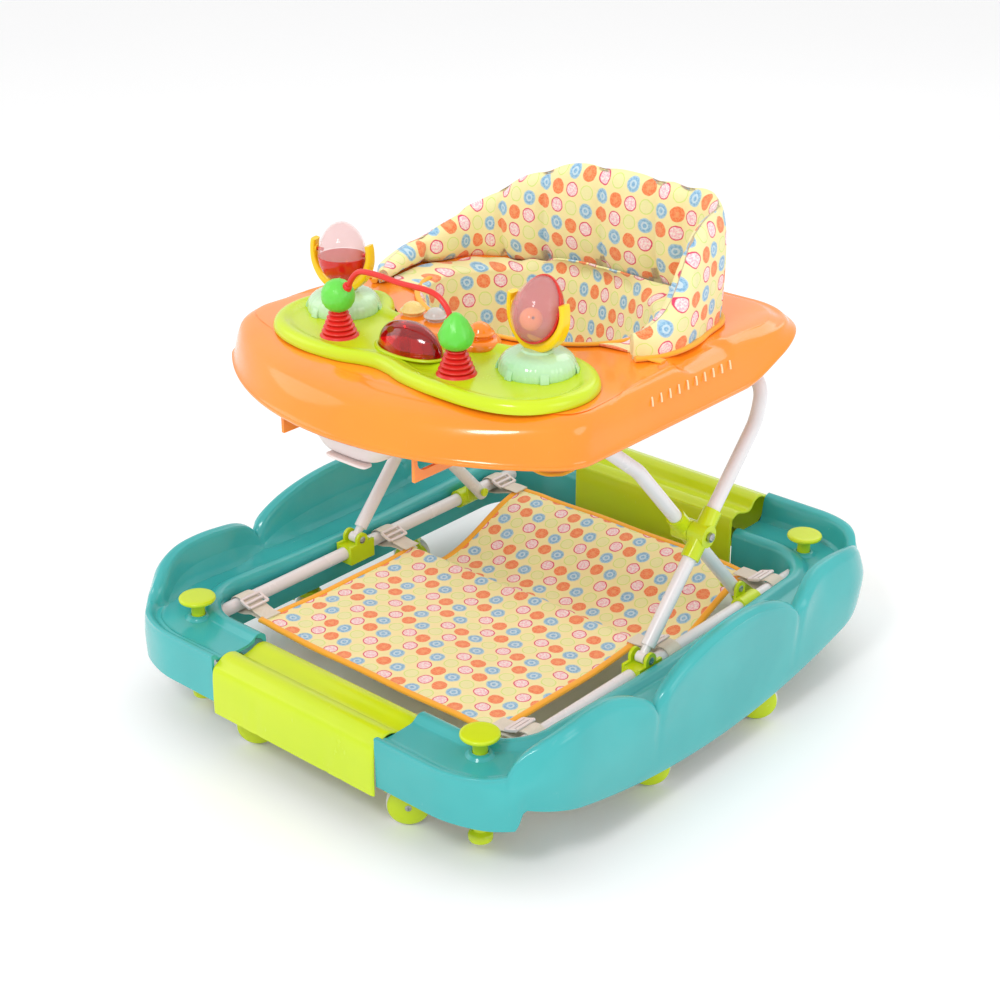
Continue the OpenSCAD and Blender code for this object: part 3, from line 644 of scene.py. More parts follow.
def cover_part(top, mirror=1):
    """A lime cover: one channel section carried along x, drawn in at both ends to a rounded lip."""
    outside = refine([[-356, 55], [-356, 80], [-354, top - 12], [-345, top - 3], [-333, top + 2],
                      [-321, top - 1],
                      [-312, top - 10], [-300, top - 9], [-287, top - 5], [-276, top - 8], [-271, top - 16],
                      [-271, 80], [-271, 62]], 5)
    t = np.gradient(outside, axis=0)
    t /= np.linalg.norm(t, axis=1)[:, None]
    normal = np.stack([t[:, 1], -t[:, 0]], -1)
    inside = (outside + normal * 2.6)[::-1]
    edge = 123.4
    x = np.concatenate([-edge + np.array([0, 0.3, 0.9, 1.8, 3.0]), np.linspace(-edge + 6, edge - 6, 41),
                        edge - np.array([3.0, 1.8, 0.9, 0.3, 0])])
    near = np.clip((edge - np.abs(x)) / 3.0, 0, 1)
    inset = 2.2 * (1 - np.sqrt(1 - (1 - near) ** 2))
    rib = 0.9 * (bell(np.abs(x), 52, 2.2) + bell(np.abs(x), 78, 2.2))
    drop = np.clip((top - outside[:, 1]) / 40, 0, 1) * (outside[:, 0] < -340)
    shift = inset[:, None] + rib[:, None] * drop[None]
    outer = outside[None] + normal[None] * shift[..., None]
    yz = np.concatenate([outer, np.broadcast_to(inside, (len(x), *inside.shape))], 1)
    rings = np.concatenate([np.broadcast_to(x[:, None, None], (*yz.shape[:2], 1)), yz], -1)
    rings[..., 1] *= mirror
    return loft(rings, caps="strip")


def stopper_part(x, y):
    """A press stopper: mushroom knob, tapered stem and rubber foot, turned about its own axis."""
    profile = refine([[0, 14], [9, 14], [12.4, 14.6], [13, 17], [12.6, 21.5], [8, 26]], 3)
    stem = refine([[7.9, 27], [7.9, 80], [7.9, 125], [7.9, 133], [10.5, 135], [16, 136.4], [20, 137.6],
                   [21, 139.6],
                   [20.2, 141.8], [17, 142.8], [9, 143], [0, 143]], 4)
    return moved(turned(np.concatenate([profile, stem]), 56), (x, y, 0))


def collar_part(x, y):
    """A raised ring in the deck that the stopper slides in."""
    profile = refine([[8.4, 100], [8.4, 118], [9.4, 119.5], [12, 119.4], [14, 117.5], [17, 114.5]], 4)
    rings, _ = revolve(np.concatenate([profile, [[17, 112], [10, 100]]]), 48)
    return moved(loft(rings, True), (x, y, 0))


def screw_part(radius=4.2, height=1.8):
    """A pan-head screw on +Z with a cross cut in its head, drawn by a dip along two bars."""
    rho = np.linspace(0, 1, 12)
    a = 2 * np.pi * np.arange(48) / 48
    x, y = rho[:, None] * np.cos(a), rho[:, None] * np.sin(a)
    cross = np.maximum(bell(x, 0, 0.16) * (np.abs(y) < 0.62), bell(y, 0, 0.16) * (np.abs(x) < 0.62))
    z = height * np.sqrt(np.maximum(0, 1 - 0.9 * rho[:, None] ** 2)) - 0.9 * cross * (rho[:, None] < 0.7)
    top = np.stack([x * radius, y * radius, z], -1)[::-1]
    rim = np.stack([radius * np.cos(a), radius * np.sin(a), np.full(48, -1.5)], -1)[None]
    base = np.zeros((1, 48, 3)) + [0, 0, -1.5]
    rings = np.concatenate([base, rim, top])
    return rings.reshape(-1, 3), grid_faces(len(rings), 48, False, True).tolist()


def build_base():
    right = side_part()
    make("side_shell_right", right, "base", "teal_plastic", ["base_side_right"], 60)
    make("side_shell_left", mirrored(right), "base", "teal_plastic", ["base_side_left"], 60)
    make("front_cover_shell", cover_part(119), "base", "lime_plastic", ["front_cover"], 45)
    make("rear_cover_shell", cover_part(150, -1), "base", "lime_plastic", ["rear_cover"], 45)
    for side, end, name in ((1, -1, "front_right"), (-1, -1, "front_left"), (1, 1, "rear_right"),
                            (-1, 1, "rear_left")):
        node = "stopper_" + name
        make("knob_" + name, stopper_part(STOPPER[0] * side, STOPPER[1] * end), node, "lime_plastic", [node])
    collars = [collar_part(STOPPER[0] * s, STOPPER[1] * e) for s in (1, -1) for e in (1, -1)]
    make("stopper_collars", joined(*collars), "base", "teal_plastic")
    rounded("pivot_clamps", "rear_pivot_clamps", "base", finish("lime_plastic"))
    screws = [moved(screw_part(), (s * 212.8, 165, 118), (0, 90 * s, 0)) for s in (1, -1)]
    make("clamp_screws", joined(*screws), "base", "steel")


# ---------- casters ----------

CASTERS = [(117, -312), (262, -89), (273, 100), (117, 312)]
TRAIL, HEADING, WHEEL = 10.0, 41.0, 24.0


def fork_part():
    """A caster's fork: two domed disc covers, a bridge over the wheel, a swivel skirt and the stem."""
    disc = refine([[0, 3.2], [8, 3.1], [15, 2.4], [19.5, 1.2], [22, 0], [22.5, -1.2], [22, -2.2],
                   [16, -1.6], [0, -1.4]], 3)
    covers = [moved(turned(disc, 56), (TRAIL, s * 9.6, WHEEL), (-90 * s, 0, 0)) for s in (1, -1)]
    bridge = refine([[-13, 44], [-12, 50], [-7, 53.4], [6, 53.6], [14, 52], [20, 45], [24, 36]], 4)
    path = np.stack([bridge[:, 0], np.zeros(len(bridge)), bridge[:, 1] - 1.2], -1)
    arch = sweep(path, 2.0, 11.6, (0, 1, 0), 0.6, 20)
    skirt = turned(refine([[0, 47], [12, 47], [13, 49], [12.4, 54], [9, 56.4], [5, 57.5], [4, 60]], 3)
                   .tolist() + [[4, 82], [0, 82]], 40)
    return joined(*covers, arch, skirt)


def wheel_part():
    """A wheel with a crowned tread, a groove round it and a dished hub."""
    half = refine([[3.05, 6.6], [7, 6.8], [9, 5.4], [17, 5.2], [20, 6.8], [22.4, 6.6], [23.6, 5],
                   [24, 2.2], [23.4, 0.5]], 3)
    profile = np.concatenate([half, (half * [1, -1])[::-1]])
    rings, _ = revolve(profile, 64)
    return moved(loft(rings, True), (TRAIL, 0, WHEEL), (90, 0, 0))


def build_casters():
    for i in range(8):
        x, y = CASTERS[i % 4]
        at, turn = (x if i < 4 else -x, y, 0), (0, 0, HEADING)
        n = i + 1
        make(f"caster_housing_{n}", moved(fork_part(), at, turn), f"caster_{n}", "lime_plastic",
             [f"caster_fork_{n}"])
        screws = [moved(screw_part(3.6, 1.4), (TRAIL, s * 12.6, WHEEL), (-90 * s, 0, 0)) for s in (1, -1)]
        make(f"caster_screws_{n}", moved(joined(*screws), at, turn), f"caster_{n}", "steel")
        make(f"caster_roller_{n}", moved(wheel_part(), at, turn), f"wheel_{n}", "wheel_plastic",
             [f"caster_wheel_{n}"])


# ---------- legs ----------

def build_legs():
    for node in ("inner_leg_tube", "outer_leg_tube", "side_tube_right", "side_tube_left"):
        dress(node, "white_tube")
    for node in ("base_joiners", "hub_bolts"):
        dress(node, "steel")
    dress("base_guides", "teal_plastic")
    lime = finish("lime_plastic")
    rounded("hub_inner", "inner_hub_sleeves", "inner_legs", lime, 1.6)
    rounded("hub_outer", "outer_hub_sleeves", "outer_legs", lime, 1.6)
    rounded("slide_shoes", "slide_blocks", "slide_blocks", lime, 1.6)
    pivot = [moved(screw_part(4.4), (s * 234.6, -37, 118), (0, 90 * s, 0)) for s in (1, -1)]
    pivot += [moved(screw_part(4.4), (s * 209.4, -37, 118), (0, -90 * s, 0)) for s in (1, -1)]
    make("slide_screws", joined(*pivot), "slide_blocks", "steel")
    hub = [moved(screw_part(4.6), (s * 236.5, 64, 230), (0, 90 * s, 0)) for s in (1, -1)]
    hub += [moved(screw_part(4.6), (s * 185.6, 64, 230), (0, -90 * s, 0)) for s in (1, -1)]
    make("hub_screws", joined(*hub), "inner_legs", "steel")
    sleeve = [moved(screw_part(2.4, 1.0), (s * 222, 80, 248), (0, 90 * s, 0)) for s in (1, -1)]
    make("sleeve_screws", joined(*sleeve), "outer_legs", "steel")


def dress(node, look):
    """Gives a CAD node its finish."""
    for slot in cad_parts[node].material_slots:
        slot.link = "OBJECT"
        slot.material = finish(look)


# ---------- tray ----------

TRAY = 450.0


def tray_outline():
    """The tray's outline, anticlockwise from the front middle: a broad front arc, small front corners,
    straight sides and large rear corners."""
    corner_y = 55 - math.sqrt(295**2 - 198**2)
    turn = math.degrees(math.atan2(corner_y - 55, 198))
    half = np.concatenate([
        arc(0, 55, 345, -90, turn, 60), arc(198, corner_y, 50, turn, 0, 18)[1:],
        np.stack([np.full(60, 248.0), np.linspace(corner_y, 158, 62)[1:-1]], -1),
        arc(168, 158, 80, 0, 90, 34), np.stack([np.linspace(168, 0, 36)[1:], np.full(35, 238.0)], -1)])
    return np.concatenate([half, half[-2:0:-1] * [-1, 1]])


def tray_relief(x, y):
    """How far the deck is raised or sunk at each point: the raised side panels and the shallow cup rests."""
    side = np.abs(x)
    panel = ease(y + 3.1 * (side - 230) + 100, -6, 6) * (1 - ease(y, 190, 214)) * ease(side, 196, 214)
    rest = 1 - ease(((side - 226) / 22) ** 2 + ((y - 42) / 46) ** 2, 0.55, 1.25)
    return 1.6 * panel * (1 - rest) - 3.0 * rest


def tray_part():
    """The tray as a closed loop of sections, from the outline's lower edge over a rounded shoulder
    to the oval opening and back underneath."""
    outline = tray_outline()
    x, y = outline.T
    a = np.arctan2((y - 25) / 260, x / 248)
    opening = np.stack([150 * np.cos(a), 45 + 110 * np.sin(a)], -1)
    d = np.linalg.norm(opening - outline, axis=1)
    low = TRAY - 50 + 30 * ease(y, 90, 205)
    f = (32 + 31 * ease(-y, 190, 280)) / d
    o, lift = np.zeros_like(f), TRAY - low
    top = [[o, low], [-3 / d, low + 1.5], [-4 / d, low + 5], [-1 / d, low + 8],
           [0.12 * f, low + 0.55 * lift],
           [0.27 * f, low + 0.78 * lift], [0.52 * f, TRAY - 4.5], [0.8 * f, TRAY - 1.4],
           [f * 1.02, TRAY - 0.4],
           [o + 0.6, o + TRAY], [o + 0.95, o + TRAY], [o + 0.985, TRAY - 0.8 + o], [o + 1, TRAY - 3 + o],
           [o + 1, TRAY - 16 + o]]
    under = [[o + 0.975, TRAY - 16 + o], [o + 0.975, TRAY - 4 + o], [f * 1.05, TRAY - 5],
             [0.6 * f, TRAY - 12],
             [0.26 * f, low + 0.45 * lift], [0.03 + o, low + 8], [0.03 + o, low]]
    section = np.concatenate([refine(by_station(top, len(x)), 4), refine(by_station(under, len(x)), 2)], 1)
    place = outline[:, None] + section[..., :1] * (opening - outline)[:, None]
    rise = tray_relief(place[..., 0], place[..., 1]) * ease(section[..., 1], 436, 446)
    return loft(np.concatenate([place, (section[..., 1] + rise)[..., None]], -1), True)


def squircle(half_x, half_y, count=72, power=0.42):
    """Rounded rectangle about the origin."""
    q = 2 * np.pi * np.arange(count) / count
    c, s = np.cos(q), np.sin(q)
    return np.stack([half_x * np.sign(c) * np.abs(c) ** power, half_y * np.sign(s) * np.abs(s) ** power], -1)


def slab_part(x, y, z, half_x, half_y, half_z):
    """A flat slab with rounded edges."""
    levels = [(-1, 0.86), (-0.9, 0.95), (-0.55, 1.0), (0.55, 1.0), (0.9, 0.95), (1, 0.86)]
    rings = [np.concatenate([squircle(half_x * s, half_y * s) + [x, y], np.full((72, 1), z + half_z * h)], 1)
             for h, s in levels]
    return loft(np.array(rings))


def tub_part():
    """The latch box under the tray's front: a tub that narrows downwards, with a rounded foot."""
    levels = refine([[399, 74, 34], [392, 71, 33.5], [384, 62, 33], [373, 48, 31.5], [367, 41, 30],
                     [364.6, 36, 27],
                     [364, 28, 22]], 4)
    rings = [np.concatenate([squircle(a, b, 72, 0.5) + [-4, -226], np.full((72, 1), z)], 1) for z, a,
             b in levels]
    return loft(np.array(rings))


def insert_outline():
    """The toy panel's outline: two round lobes, the left one narrower, and a dipped middle."""
    half = np.array([[0, -213], [20, -216], [42, -223], [70, -227.5], [104, -229], [143, -227.5],
                     [178, -218],
                     [203, -199], [218, -170], [221, -140], [213, -112], [198, -93], [180, -80], [158, -72],
                     [134, -71], [108, -79], [84, -89], [56, -94], [28, -95], [0, -95]], float)
    left = np.array([[-28, -95], [-60, -95], [-90, -91], [-105, -76], [-122, -62], [-144, -56],
                     [-166, -70], [-182, -92],
                     [-193, -118], [-194, -146], [-185, -175], [-165, -201], [-135, -217], [-100, -225],
                     [-70, -226],
                     [-42, -223], [-20, -216]], float)
    return refine(np.concatenate([half, left]), 6, True)


def insert_part():
    """The toy panel: a broad rounded rim, a smooth floor and a dip near the front."""
    outline = insert_outline()
    t = np.roll(outline, -1, 0) - np.roll(outline, 1, 0)
    t /= np.linalg.norm(t, axis=1)[:, None]
    inward = np.stack([-t[:, 1], t[:, 0]], -1)
    steps = [(0, 450.3), (-0.4, 453), (0.4, 457), (2.4, 460.2), (6, 462.2), (10.5, 462.4), (15, 460.8),
             (18.5, 459.0),
             (21, 458.0), (23, 457.6)]
    profile = refine(np.array(steps), 3)
    rings = [np.concatenate([outline + inward * s, np.full((len(outline), 1), z)], 1) for s, z in profile]
    edge = rings[-1][:, :2]
    spine = np.stack([np.clip(edge[:, 0], -128, 128), np.full(len(edge), -152.0)], -1)
    for share in np.linspace(0.12, 0.94, 14):
        flat = edge + (spine - edge) * share
        dip = 4.5 * bell(np.hypot((flat[:, 0] - 40) / 1.5, flat[:, 1] + 186), 0, 15)
        rings.append(np.concatenate([flat, (457.4 - dip)[:, None]], 1))
    return loft(np.array(rings))


def toy(name, part, look, body="tray", replaces=(), sharp=38.0):
    """A piece of the toys, which rides on the tray unless another body is named."""
    return make(name, part, body, look, replaces, sharp)


def dome_part(a, b, h, point=2.0, ribs=0, depth=0.0):
    """Superellipse dome on z = 0: half-axes a and b, height h; point below 2 draws its ends to tips."""
    t = np.linspace(0, math.pi / 2, 20)
    rho, z = np.cos(t) ** 0.85, h * np.sin(t)
    q = 2 * np.pi * np.arange(96) / 96
    p = 2.0 / point
    cx = np.sign(np.cos(q)) * np.abs(np.cos(q)) ** p * (1 + depth * np.cos(ribs * q))
    cy = np.sign(np.sin(q)) * np.abs(np.sin(q)) ** p * (1 + depth * np.cos(ribs * q))
    rings = np.stack([a * rho[:, None] * cx, b * rho[:, None] * cy,
                      np.broadcast_to(z[:, None], (20, 96))], -1)
    return loft(rings)


def spinner_base_part():
    """A milky turning base: ribbed wall, rounded shoulder, raised middle and small clips round its foot."""
    wall = refine([[39.6, 0.4], [40.2, 3], [39.6, 8], [37.6, 13.5], [33, 18.2], [26, 21], [18, 22]], 3)
    ribbed = np.concatenate([[[0, 0.4], [30, 0.4]], wall])
    rings, _ = revolve(ribbed, 180, 36, 0.005)
    top = np.array([[17, 22.2], [15.5, 24], [10, 25], [4, 25.2], [0, 25.2]])
    cap, _ = revolve(top, 180)
    body = np.concatenate([rings, cap], 1)
    base = (body.reshape(-1, 3), grid_faces(180, body.shape[1], True, False).tolist())
    clips = []
    for angle in (-150, -95, -40, 30, 95, 150):
        c = sweep([(36, 0, 6), (39.5, 0, 9), (41.4, 0, 5), (41.8, 0, 0.8)], 1.3, 4.6, (0, 1, 0), 0.5, 12)
        clips.append(moved(c, (0, 0, 0), (0, 0, angle)))
    return joined(base, *clips)


def yoke_part():
    """A crescent that carries the egg: broad and grooved at the bottom, thin at its two tips."""
    a = np.radians(np.linspace(163, 377, 65))
    r = 37.5
    path = np.stack([34.5 * np.cos(a), 0 * a, 522.5 + (r + 0.6) * np.sin(a)], -1)
    low = np.clip(-np.sin(a), 0, 1)
    crescent = sweep(path, 3.0 + 3.8 * low**1.5, 6.4 + 3.2 * low, (0, 1, 0), 0.5, 24)
    points = crescent[0]
    radius = np.hypot(points[:, 0], points[:, 2] - 522.5)
    groove = bell(points[:, 1], 0, 4.6) * ease(522.5 - points[:, 2], 6, 22) * ease(radius, 36.5, 39.5)
    shrink = 1 - 1.9 * groove / np.maximum(radius, 1)
    points = np.stack([points[:, 0] * shrink, points[:, 1], 522.5 + (points[:, 2] - 522.5) * shrink], -1)
    ears = [moved(turned([[0, -3], [4.4, -3], [5, -2], [5, 2], [4.4, 3], [0, 3]], 32), (s * 33.8, 0, 522),
                  (0, 90, 0))
            for s in (1, -1)]
    stem = turned(refine([[0, 478.5], [7, 478.5], [7.4, 481], [6.6, 484], [6, 487]], 3).tolist()
                  + [[0, 487]], 40)
    return joined((points, crescent[1]), stem, *ears)


EGG_A, EGG_H, EGG_WALL = 26.5, 34.0, 1.6
EGG_MID = 522
SPINNER = (139, -120)
FRUIT = (84, -181)


def egg_half(start, turn=180.0):
    """Half of a thin egg shell, split along an upright plane."""
    t = np.linspace(-1, 1, 33)
    t = np.sin(t * math.pi / 2)
    outer = np.stack([EGG_A * np.sqrt(np.maximum(0, 1 - t * t)) * (1 - 0.1 * t), EGG_H * t], -1)
    inner = outer[::-1] * [1 - EGG_WALL / EGG_A, 1 - EGG_WALL / EGG_H]
    rings, _ = revolve(np.concatenate([outer, inner]), 48, 0, 0, start, turn)
    return loft(rings, False, "strip")


def egg_band(low, high):
    """A closed shell zone of the egg between two heights."""
    t = np.linspace(low / EGG_H, high / EGG_H, 24)
    outer = np.stack([EGG_A * np.sqrt(np.maximum(0, 1 - t * t)) * (1 - 0.1 * t), EGG_H * t], -1)
    inner = outer[::-1] * [1 - EGG_WALL / EGG_A, 1 - EGG_WALL / EGG_H]
    rings, _ = revolve(np.concatenate([outer, inner]), 96)
    return loft(rings, True)


def pivot_pins():
    return joined(*[moved(turned([[0, -5], [2, -5], [2, 3.5], [0, 3.5]], 24), (s * 29, 0, 0), (0, 90 * s, 0))
                    for s in (1, -1)])


def bellows_part():
    """Five soft rings that shrink upwards from a wide flange."""
    points = [[0, 0], [19.4, 0], [20, 1.6], [18.4, 3.2]]
    for i in range(5):
        r = 18.4 - 1.9 * i
        z = 3.2 + 4.9 * i
        points += [[r - 2.3, z + 0.4], [r, z + 1.8], [r, z + 3.2], [r - 2.6, z + 4.6]]
    points += [[9, 29], [7, 31], [0, 31.5]]
    return turned(refine(points, 3), 64)


def berry_part():
    """Rounded triangular fruit, wide at the shoulders and narrow above, with short raised strokes."""
    profile = refine([[0, -18.5], [6, -18.2], [13, -15], [17.4, -8.5], [17.6, -1], [14.2, 7], [9.4, 14],
                      [4.6, 19.2],
                      [0, 21]], 5)
    rings, _ = revolve(profile, 96)
    a, z = np.arctan2(rings[..., 1], rings[..., 0]), rings[..., 2]
    spots = sum(bell(np.hypot((np.mod(a - q + math.pi, 2 * math.pi) - math.pi) * 14, (z - h) * 0.7), 0, 1.7)
                for q, h in [(0.2 + i * 1.05 + (j % 2) * 0.52, -9 + 7 * j) for i in range(6)
                             for j in range(4)])
    rings = rings * (1 + 0.05 * spots)[..., None]
    return rings.reshape(-1, 3), grid_faces(*rings.shape[:2], True, False).tolist()


def ball_part(r, dots):
    """A ball with many small raised dots in a spiral."""
    t = np.linspace(0, math.pi, 49)
    rings, _ = revolve(np.stack([r * np.sin(t), -r * np.cos(t)], -1), 96)
    i = np.arange(dots) + 0.5
    h = 1 - 2 * i / dots
    g = i * math.pi * (3 - math.sqrt(5))
    s = np.sqrt(1 - h * h)
    centres = np.stack([s * np.cos(g), s * np.sin(g), h], -1) * r
    gap = np.linalg.norm(rings[:, :, None] - centres[None, None], axis=-1).min(-1)
    rings = rings * (1 + 0.035 * bell(gap, 0, 0.9))[..., None]
    return rings.reshape(-1, 3), grid_faces(*rings.shape[:2], True, False).tolist()


def button_part(r, crown):
    """A soft domed button with a narrow brim."""
    return turned(refine([[0, 462.5], [r - 2.6, 462.5], [r - 2.6, 469.5], [r + 0.6, 469.8],
                          [r + 0.8, 471], [r - 0.6, 472],
                          [r * 0.86, 473.4], [r * 0.66, 476 + crown * 0.6], [r * 0.34, 478 + crown],
                          [0, 478.6 + crown]],
                         4), 64)


def console_part():
    """The orange console: a stadium mound with a raised rounded rim at its front and three seats on top."""
    q = np.linspace(0, 2 * np.pi, 120, endpoint=False)
    unit = np.stack([np.cos(q), np.sin(q)], -1)
    steps = refine([[1.0, 456.9], [1.005, 459], [0.985, 462.4], [0.94, 465], [0.86, 466], [0.5, 466.2],
                    [0.2, 466.2]], 3)
    rings = []
    for share, z in steps:
        flat = np.stack([np.clip(unit[:, 0] * 1e3, -45, 45) * share + 25 * share * unit[:, 0],
                         25 * share * unit[:, 1] - 106], -1)
        rings.append(np.concatenate([flat, np.full((120, 1), z)], 1))
    return loft(np.array(rings))


def build_tray():
    make("tray_deck", tray_part(), "tray", "orange_plastic", ["tray_shell"], 50)
    make("toy_panel", insert_part(), "tray", "lime_plastic", ["toy_insert"], 50)
    rounded("rear_bar_clips", "tray_clips", "tray", finish("lime_plastic"))
    rounded("crossbar_guides", "bar_guides", "tray", finish("orange_plastic"))
    make("latch_box", tub_part(), "tray", "white_plastic", ["lock_box"], 50)
    make("latch_pull", slab_part(0, -254.5, 362.2, 29, 7.5, 1.8), "lock_lever", "white_plastic",
         ["lock_lever"], 50)
    # Pale ticks on the tray's shoulders: the vent slots drawn as raised marks, painted pale as their
    # highlight
    highlight_ticks = []
    for s in (1, -1):
        for i in range(10):
            y = -66 + 15 * i
            path = [(s * 246.6, y - 2.0, 430.5), (s * 244.4, y, 434.6), (s * 241.8, y + 2.0, 438)]
            highlight_ticks.append(sweep(refine(path, 4), 0.8, 0.9, (1, 0, 0.2), 0.8, 10))
    make("side_vent_highlights", joined(*highlight_ticks), "tray", "vent_highlight")


def build_toys():
    bases = [moved(spinner_base_part(), (s * SPINNER[0], SPINNER[1], 456.7)) for s in (1, -1)]
    toy("turning_bases", joined(*bases), "mint_plastic", replaces=["spinner_bases"])
    for side, turn, name in ((1, 0, "right"), (-1, 16, "left")):
        at = (side * SPINNER[0], SPINNER[1], 0)
        toy(f"crescent_{name}", moved(yoke_part(), at, (0, 0, turn)), "yellow_plastic", f"yoke_{name}",
            [f"yoke_{name}"])
        mid = (side * SPINNER[0], SPINNER[1], EGG_MID)
        body = f"egg_{name}"
        if side > 0:
            tilt = (-24, 0, 0)
            t = np.sin(np.linspace(-math.pi / 2, math.pi / 2, 41))
            r = (EGG_A + 0.6) * np.sqrt(np.maximum(0, 1 - t * t)) * (1 - 0.1 * t)
            right_edge = np.stack([r, 0 * t, (EGG_H + 0.6) * t], -1)
            seam = np.concatenate([right_edge, right_edge[-2:0:-1] * [-1, 1, 1]])
            toy("egg_right_rim", moved(sweep(seam, 1.2, 1.7, (0, 1, 0), 0.8, 12, True), mid, tilt),
                "egg_red", body)
            toy("egg_right_window", moved(egg_half(180), mid, tilt), "egg_clear", body, ["egg_right"])
            toy("egg_right_half", moved(egg_half(0), mid, tilt), "egg_red", body)
            bead = turned(np.stack([12 * np.sin(np.linspace(0, math.pi, 24)),
                                    -12 * np.cos(np.linspace(0, math.pi, 24))],
                                   -1), 40)
            toy("egg_fruit", moved(bead, (mid[0] - 2, mid[1] - 8, 513)), "orange_plastic", body,
                ["egg_bead"])
            toy("egg_fruit_stem", moved(turned([[0, 10.6], [1.8, 11], [1.4, 13.4], [0, 13.8]], 16),
                                        (mid[0] - 2, mid[1] - 8, 513),
                                        (64, 0, 50)), "stem", body)
        else:
            toy("egg_left_top", moved(egg_band(-3, 33.99), mid), "egg_clear", body, ["egg_left"])
            toy("egg_left_bottom", moved(egg_band(-33.99, -4), mid), "egg_red", body)
            pips = [moved(turned([[0, -1.6], [1.5, -0.8], [1.5, 0.8], [0, 1.6]], 16),
                          (mid[0] + 13 * math.cos(k), mid[1] + 13 * math.sin(k), 503 + (k % 3) * 2.0))
                    for k in range(7)]
            toy("egg_left_pips", joined(*pips), "orange_plastic", body)
        toy(f"egg_{name}_pins", moved(pivot_pins(), mid, (0, 0, turn)), "egg_red", body)
    cones = [moved(bellows_part(), (s * FRUIT[0], FRUIT[1], 456.9)) for s in (1, -1)]
    toy("fruit_cones", joined(*cones), "red_plastic", replaces=["bellows"])
    ball = moved(ball_part(18, 90), (-FRUIT[0], FRUIT[1], 501))
    toy("green_fruit", ball, "green_plastic", replaces=["fruit_knobs"])
    toy("berry_fruit", moved(berry_part(), (FRUIT[0], FRUIT[1], 501)), "green_plastic")
    path = refine([(-68, -180, 516), (-63, -180, 524), (-56, -180, 531), (-46, -180, 535),
                   (-22, -180, 536), (6, -180, 534.4),
                   (40, -180, 535.6), (56, -180, 533.6), (66, -180, 528), (73, -180, 520),
                   (78, -181, 511)], 5)
    rod = sweep(path, 3.1, 3.1, (0, 1, 0), 1.0, 20)
    collars = []
    for at, tilt in (((-71.5, -180, 512), 35), ((77.5, -181, 512.5), -22)):
        collars.append(moved(turned(refine([[0, -5], [4.8, -5], [5.4, -2], [5.2, 2], [4.2, 4.6], [0, 5]],
                                           3), 40), at,
                             (0, tilt, 0)))
    toy("rod_bridge", joined(rod, *collars), "red_plastic", replaces=["rod_arch"])
    lens = moved(dome_part(44, 23, 30, 1.6), (5, -165, 458.2))
    toy("light_lens", lens, "red_clear", replaces=["light_dome"])
    flange = sweep(np.stack([5 + 44 * np.cos(np.linspace(0, 2 * np.pi, 73)[:-1]),
                             -165 + 24 * np.sin(np.linspace(0, 2 * np.pi, 73)[:-1]), np.full(72, 458.2)],
                            -1), 2.4, 1.6,
                   (0, 0, 1), 0.9, 12, True)
    toy("lens_ring", flange, "lime_plastic")
    lamp = moved(turned([[0, 0], [5, 0], [5, 7], [3, 10], [0, 11]], 32), (3, -165, 458.4))
    toy("lens_lamp", lamp, "cream_plastic")
    toy("sound_console", console_part(), "orange_plastic", replaces=["music_panel"])
    for name, look, (x, y, r), crown in (("yellow_button", "cream_plastic", (-54, -100, 13), 1.2),
                                         ("grey_button", "grey_plastic", (-22, -98, 12), 1.0),
                                         ("orange_button", "orange_plastic", (47, -104, 14.5), 3.0)):
        toy(f"{name}_cap", moved(button_part(r, crown), (x, y, 0)), look, name, [name])


# ---------- seat ----------

def seat_line():
    """Middle line of the padded back, from the right wing's tip round to the left wing's tip."""
    half = np.concatenate([[[0, 150], [50, 150], [100, 149]], arc(140, 104, 45, 90, 12, 6),
                           [[189, 88], [195, 66], [198, 44], [197, 22], [191, 0], [180, -18]]])
    full = np.concatenate([half[::-1], half[1:] * [-1, 1]])
    return refine(full, 10)


def seat_top(p):
    """Height of the back's top edge: tall at the right corner, falling along the wings and drooping
    to the left."""
    right = np.interp(p[:, 1], [-20, 0, 20, 36, 54, 150], [0.15, 0.22, 0.33, 0.56, 0.86, 1])
    left = np.minimum(np.interp(p[:, 1], [-20, 20, 60, 120, 149], [0.08, 0.13, 0.22, 0.36, 1]),
                      np.interp(-p[:, 0], [0, 40, 113, 152, 190], [1, 0.96, 0.74, 0.55, 0.36]))
    rise = np.where(p[:, 0] < 0, left, right)
    kernel = np.hanning(17) / np.hanning(17).sum()
    rise = np.convolve(np.pad(rise, 8, mode="edge"), kernel, mode="valid")
    return 456 + 133 * rise


def seam_height(p):
    """Height of the seam where the bolster meets the lower panel: level at the back, down on the wings."""
    back = 472 - 22 * ease(-p[:, 0], 10, 150)
    return 453 + (back - 453) * ease(p[:, 1], 40, 118)


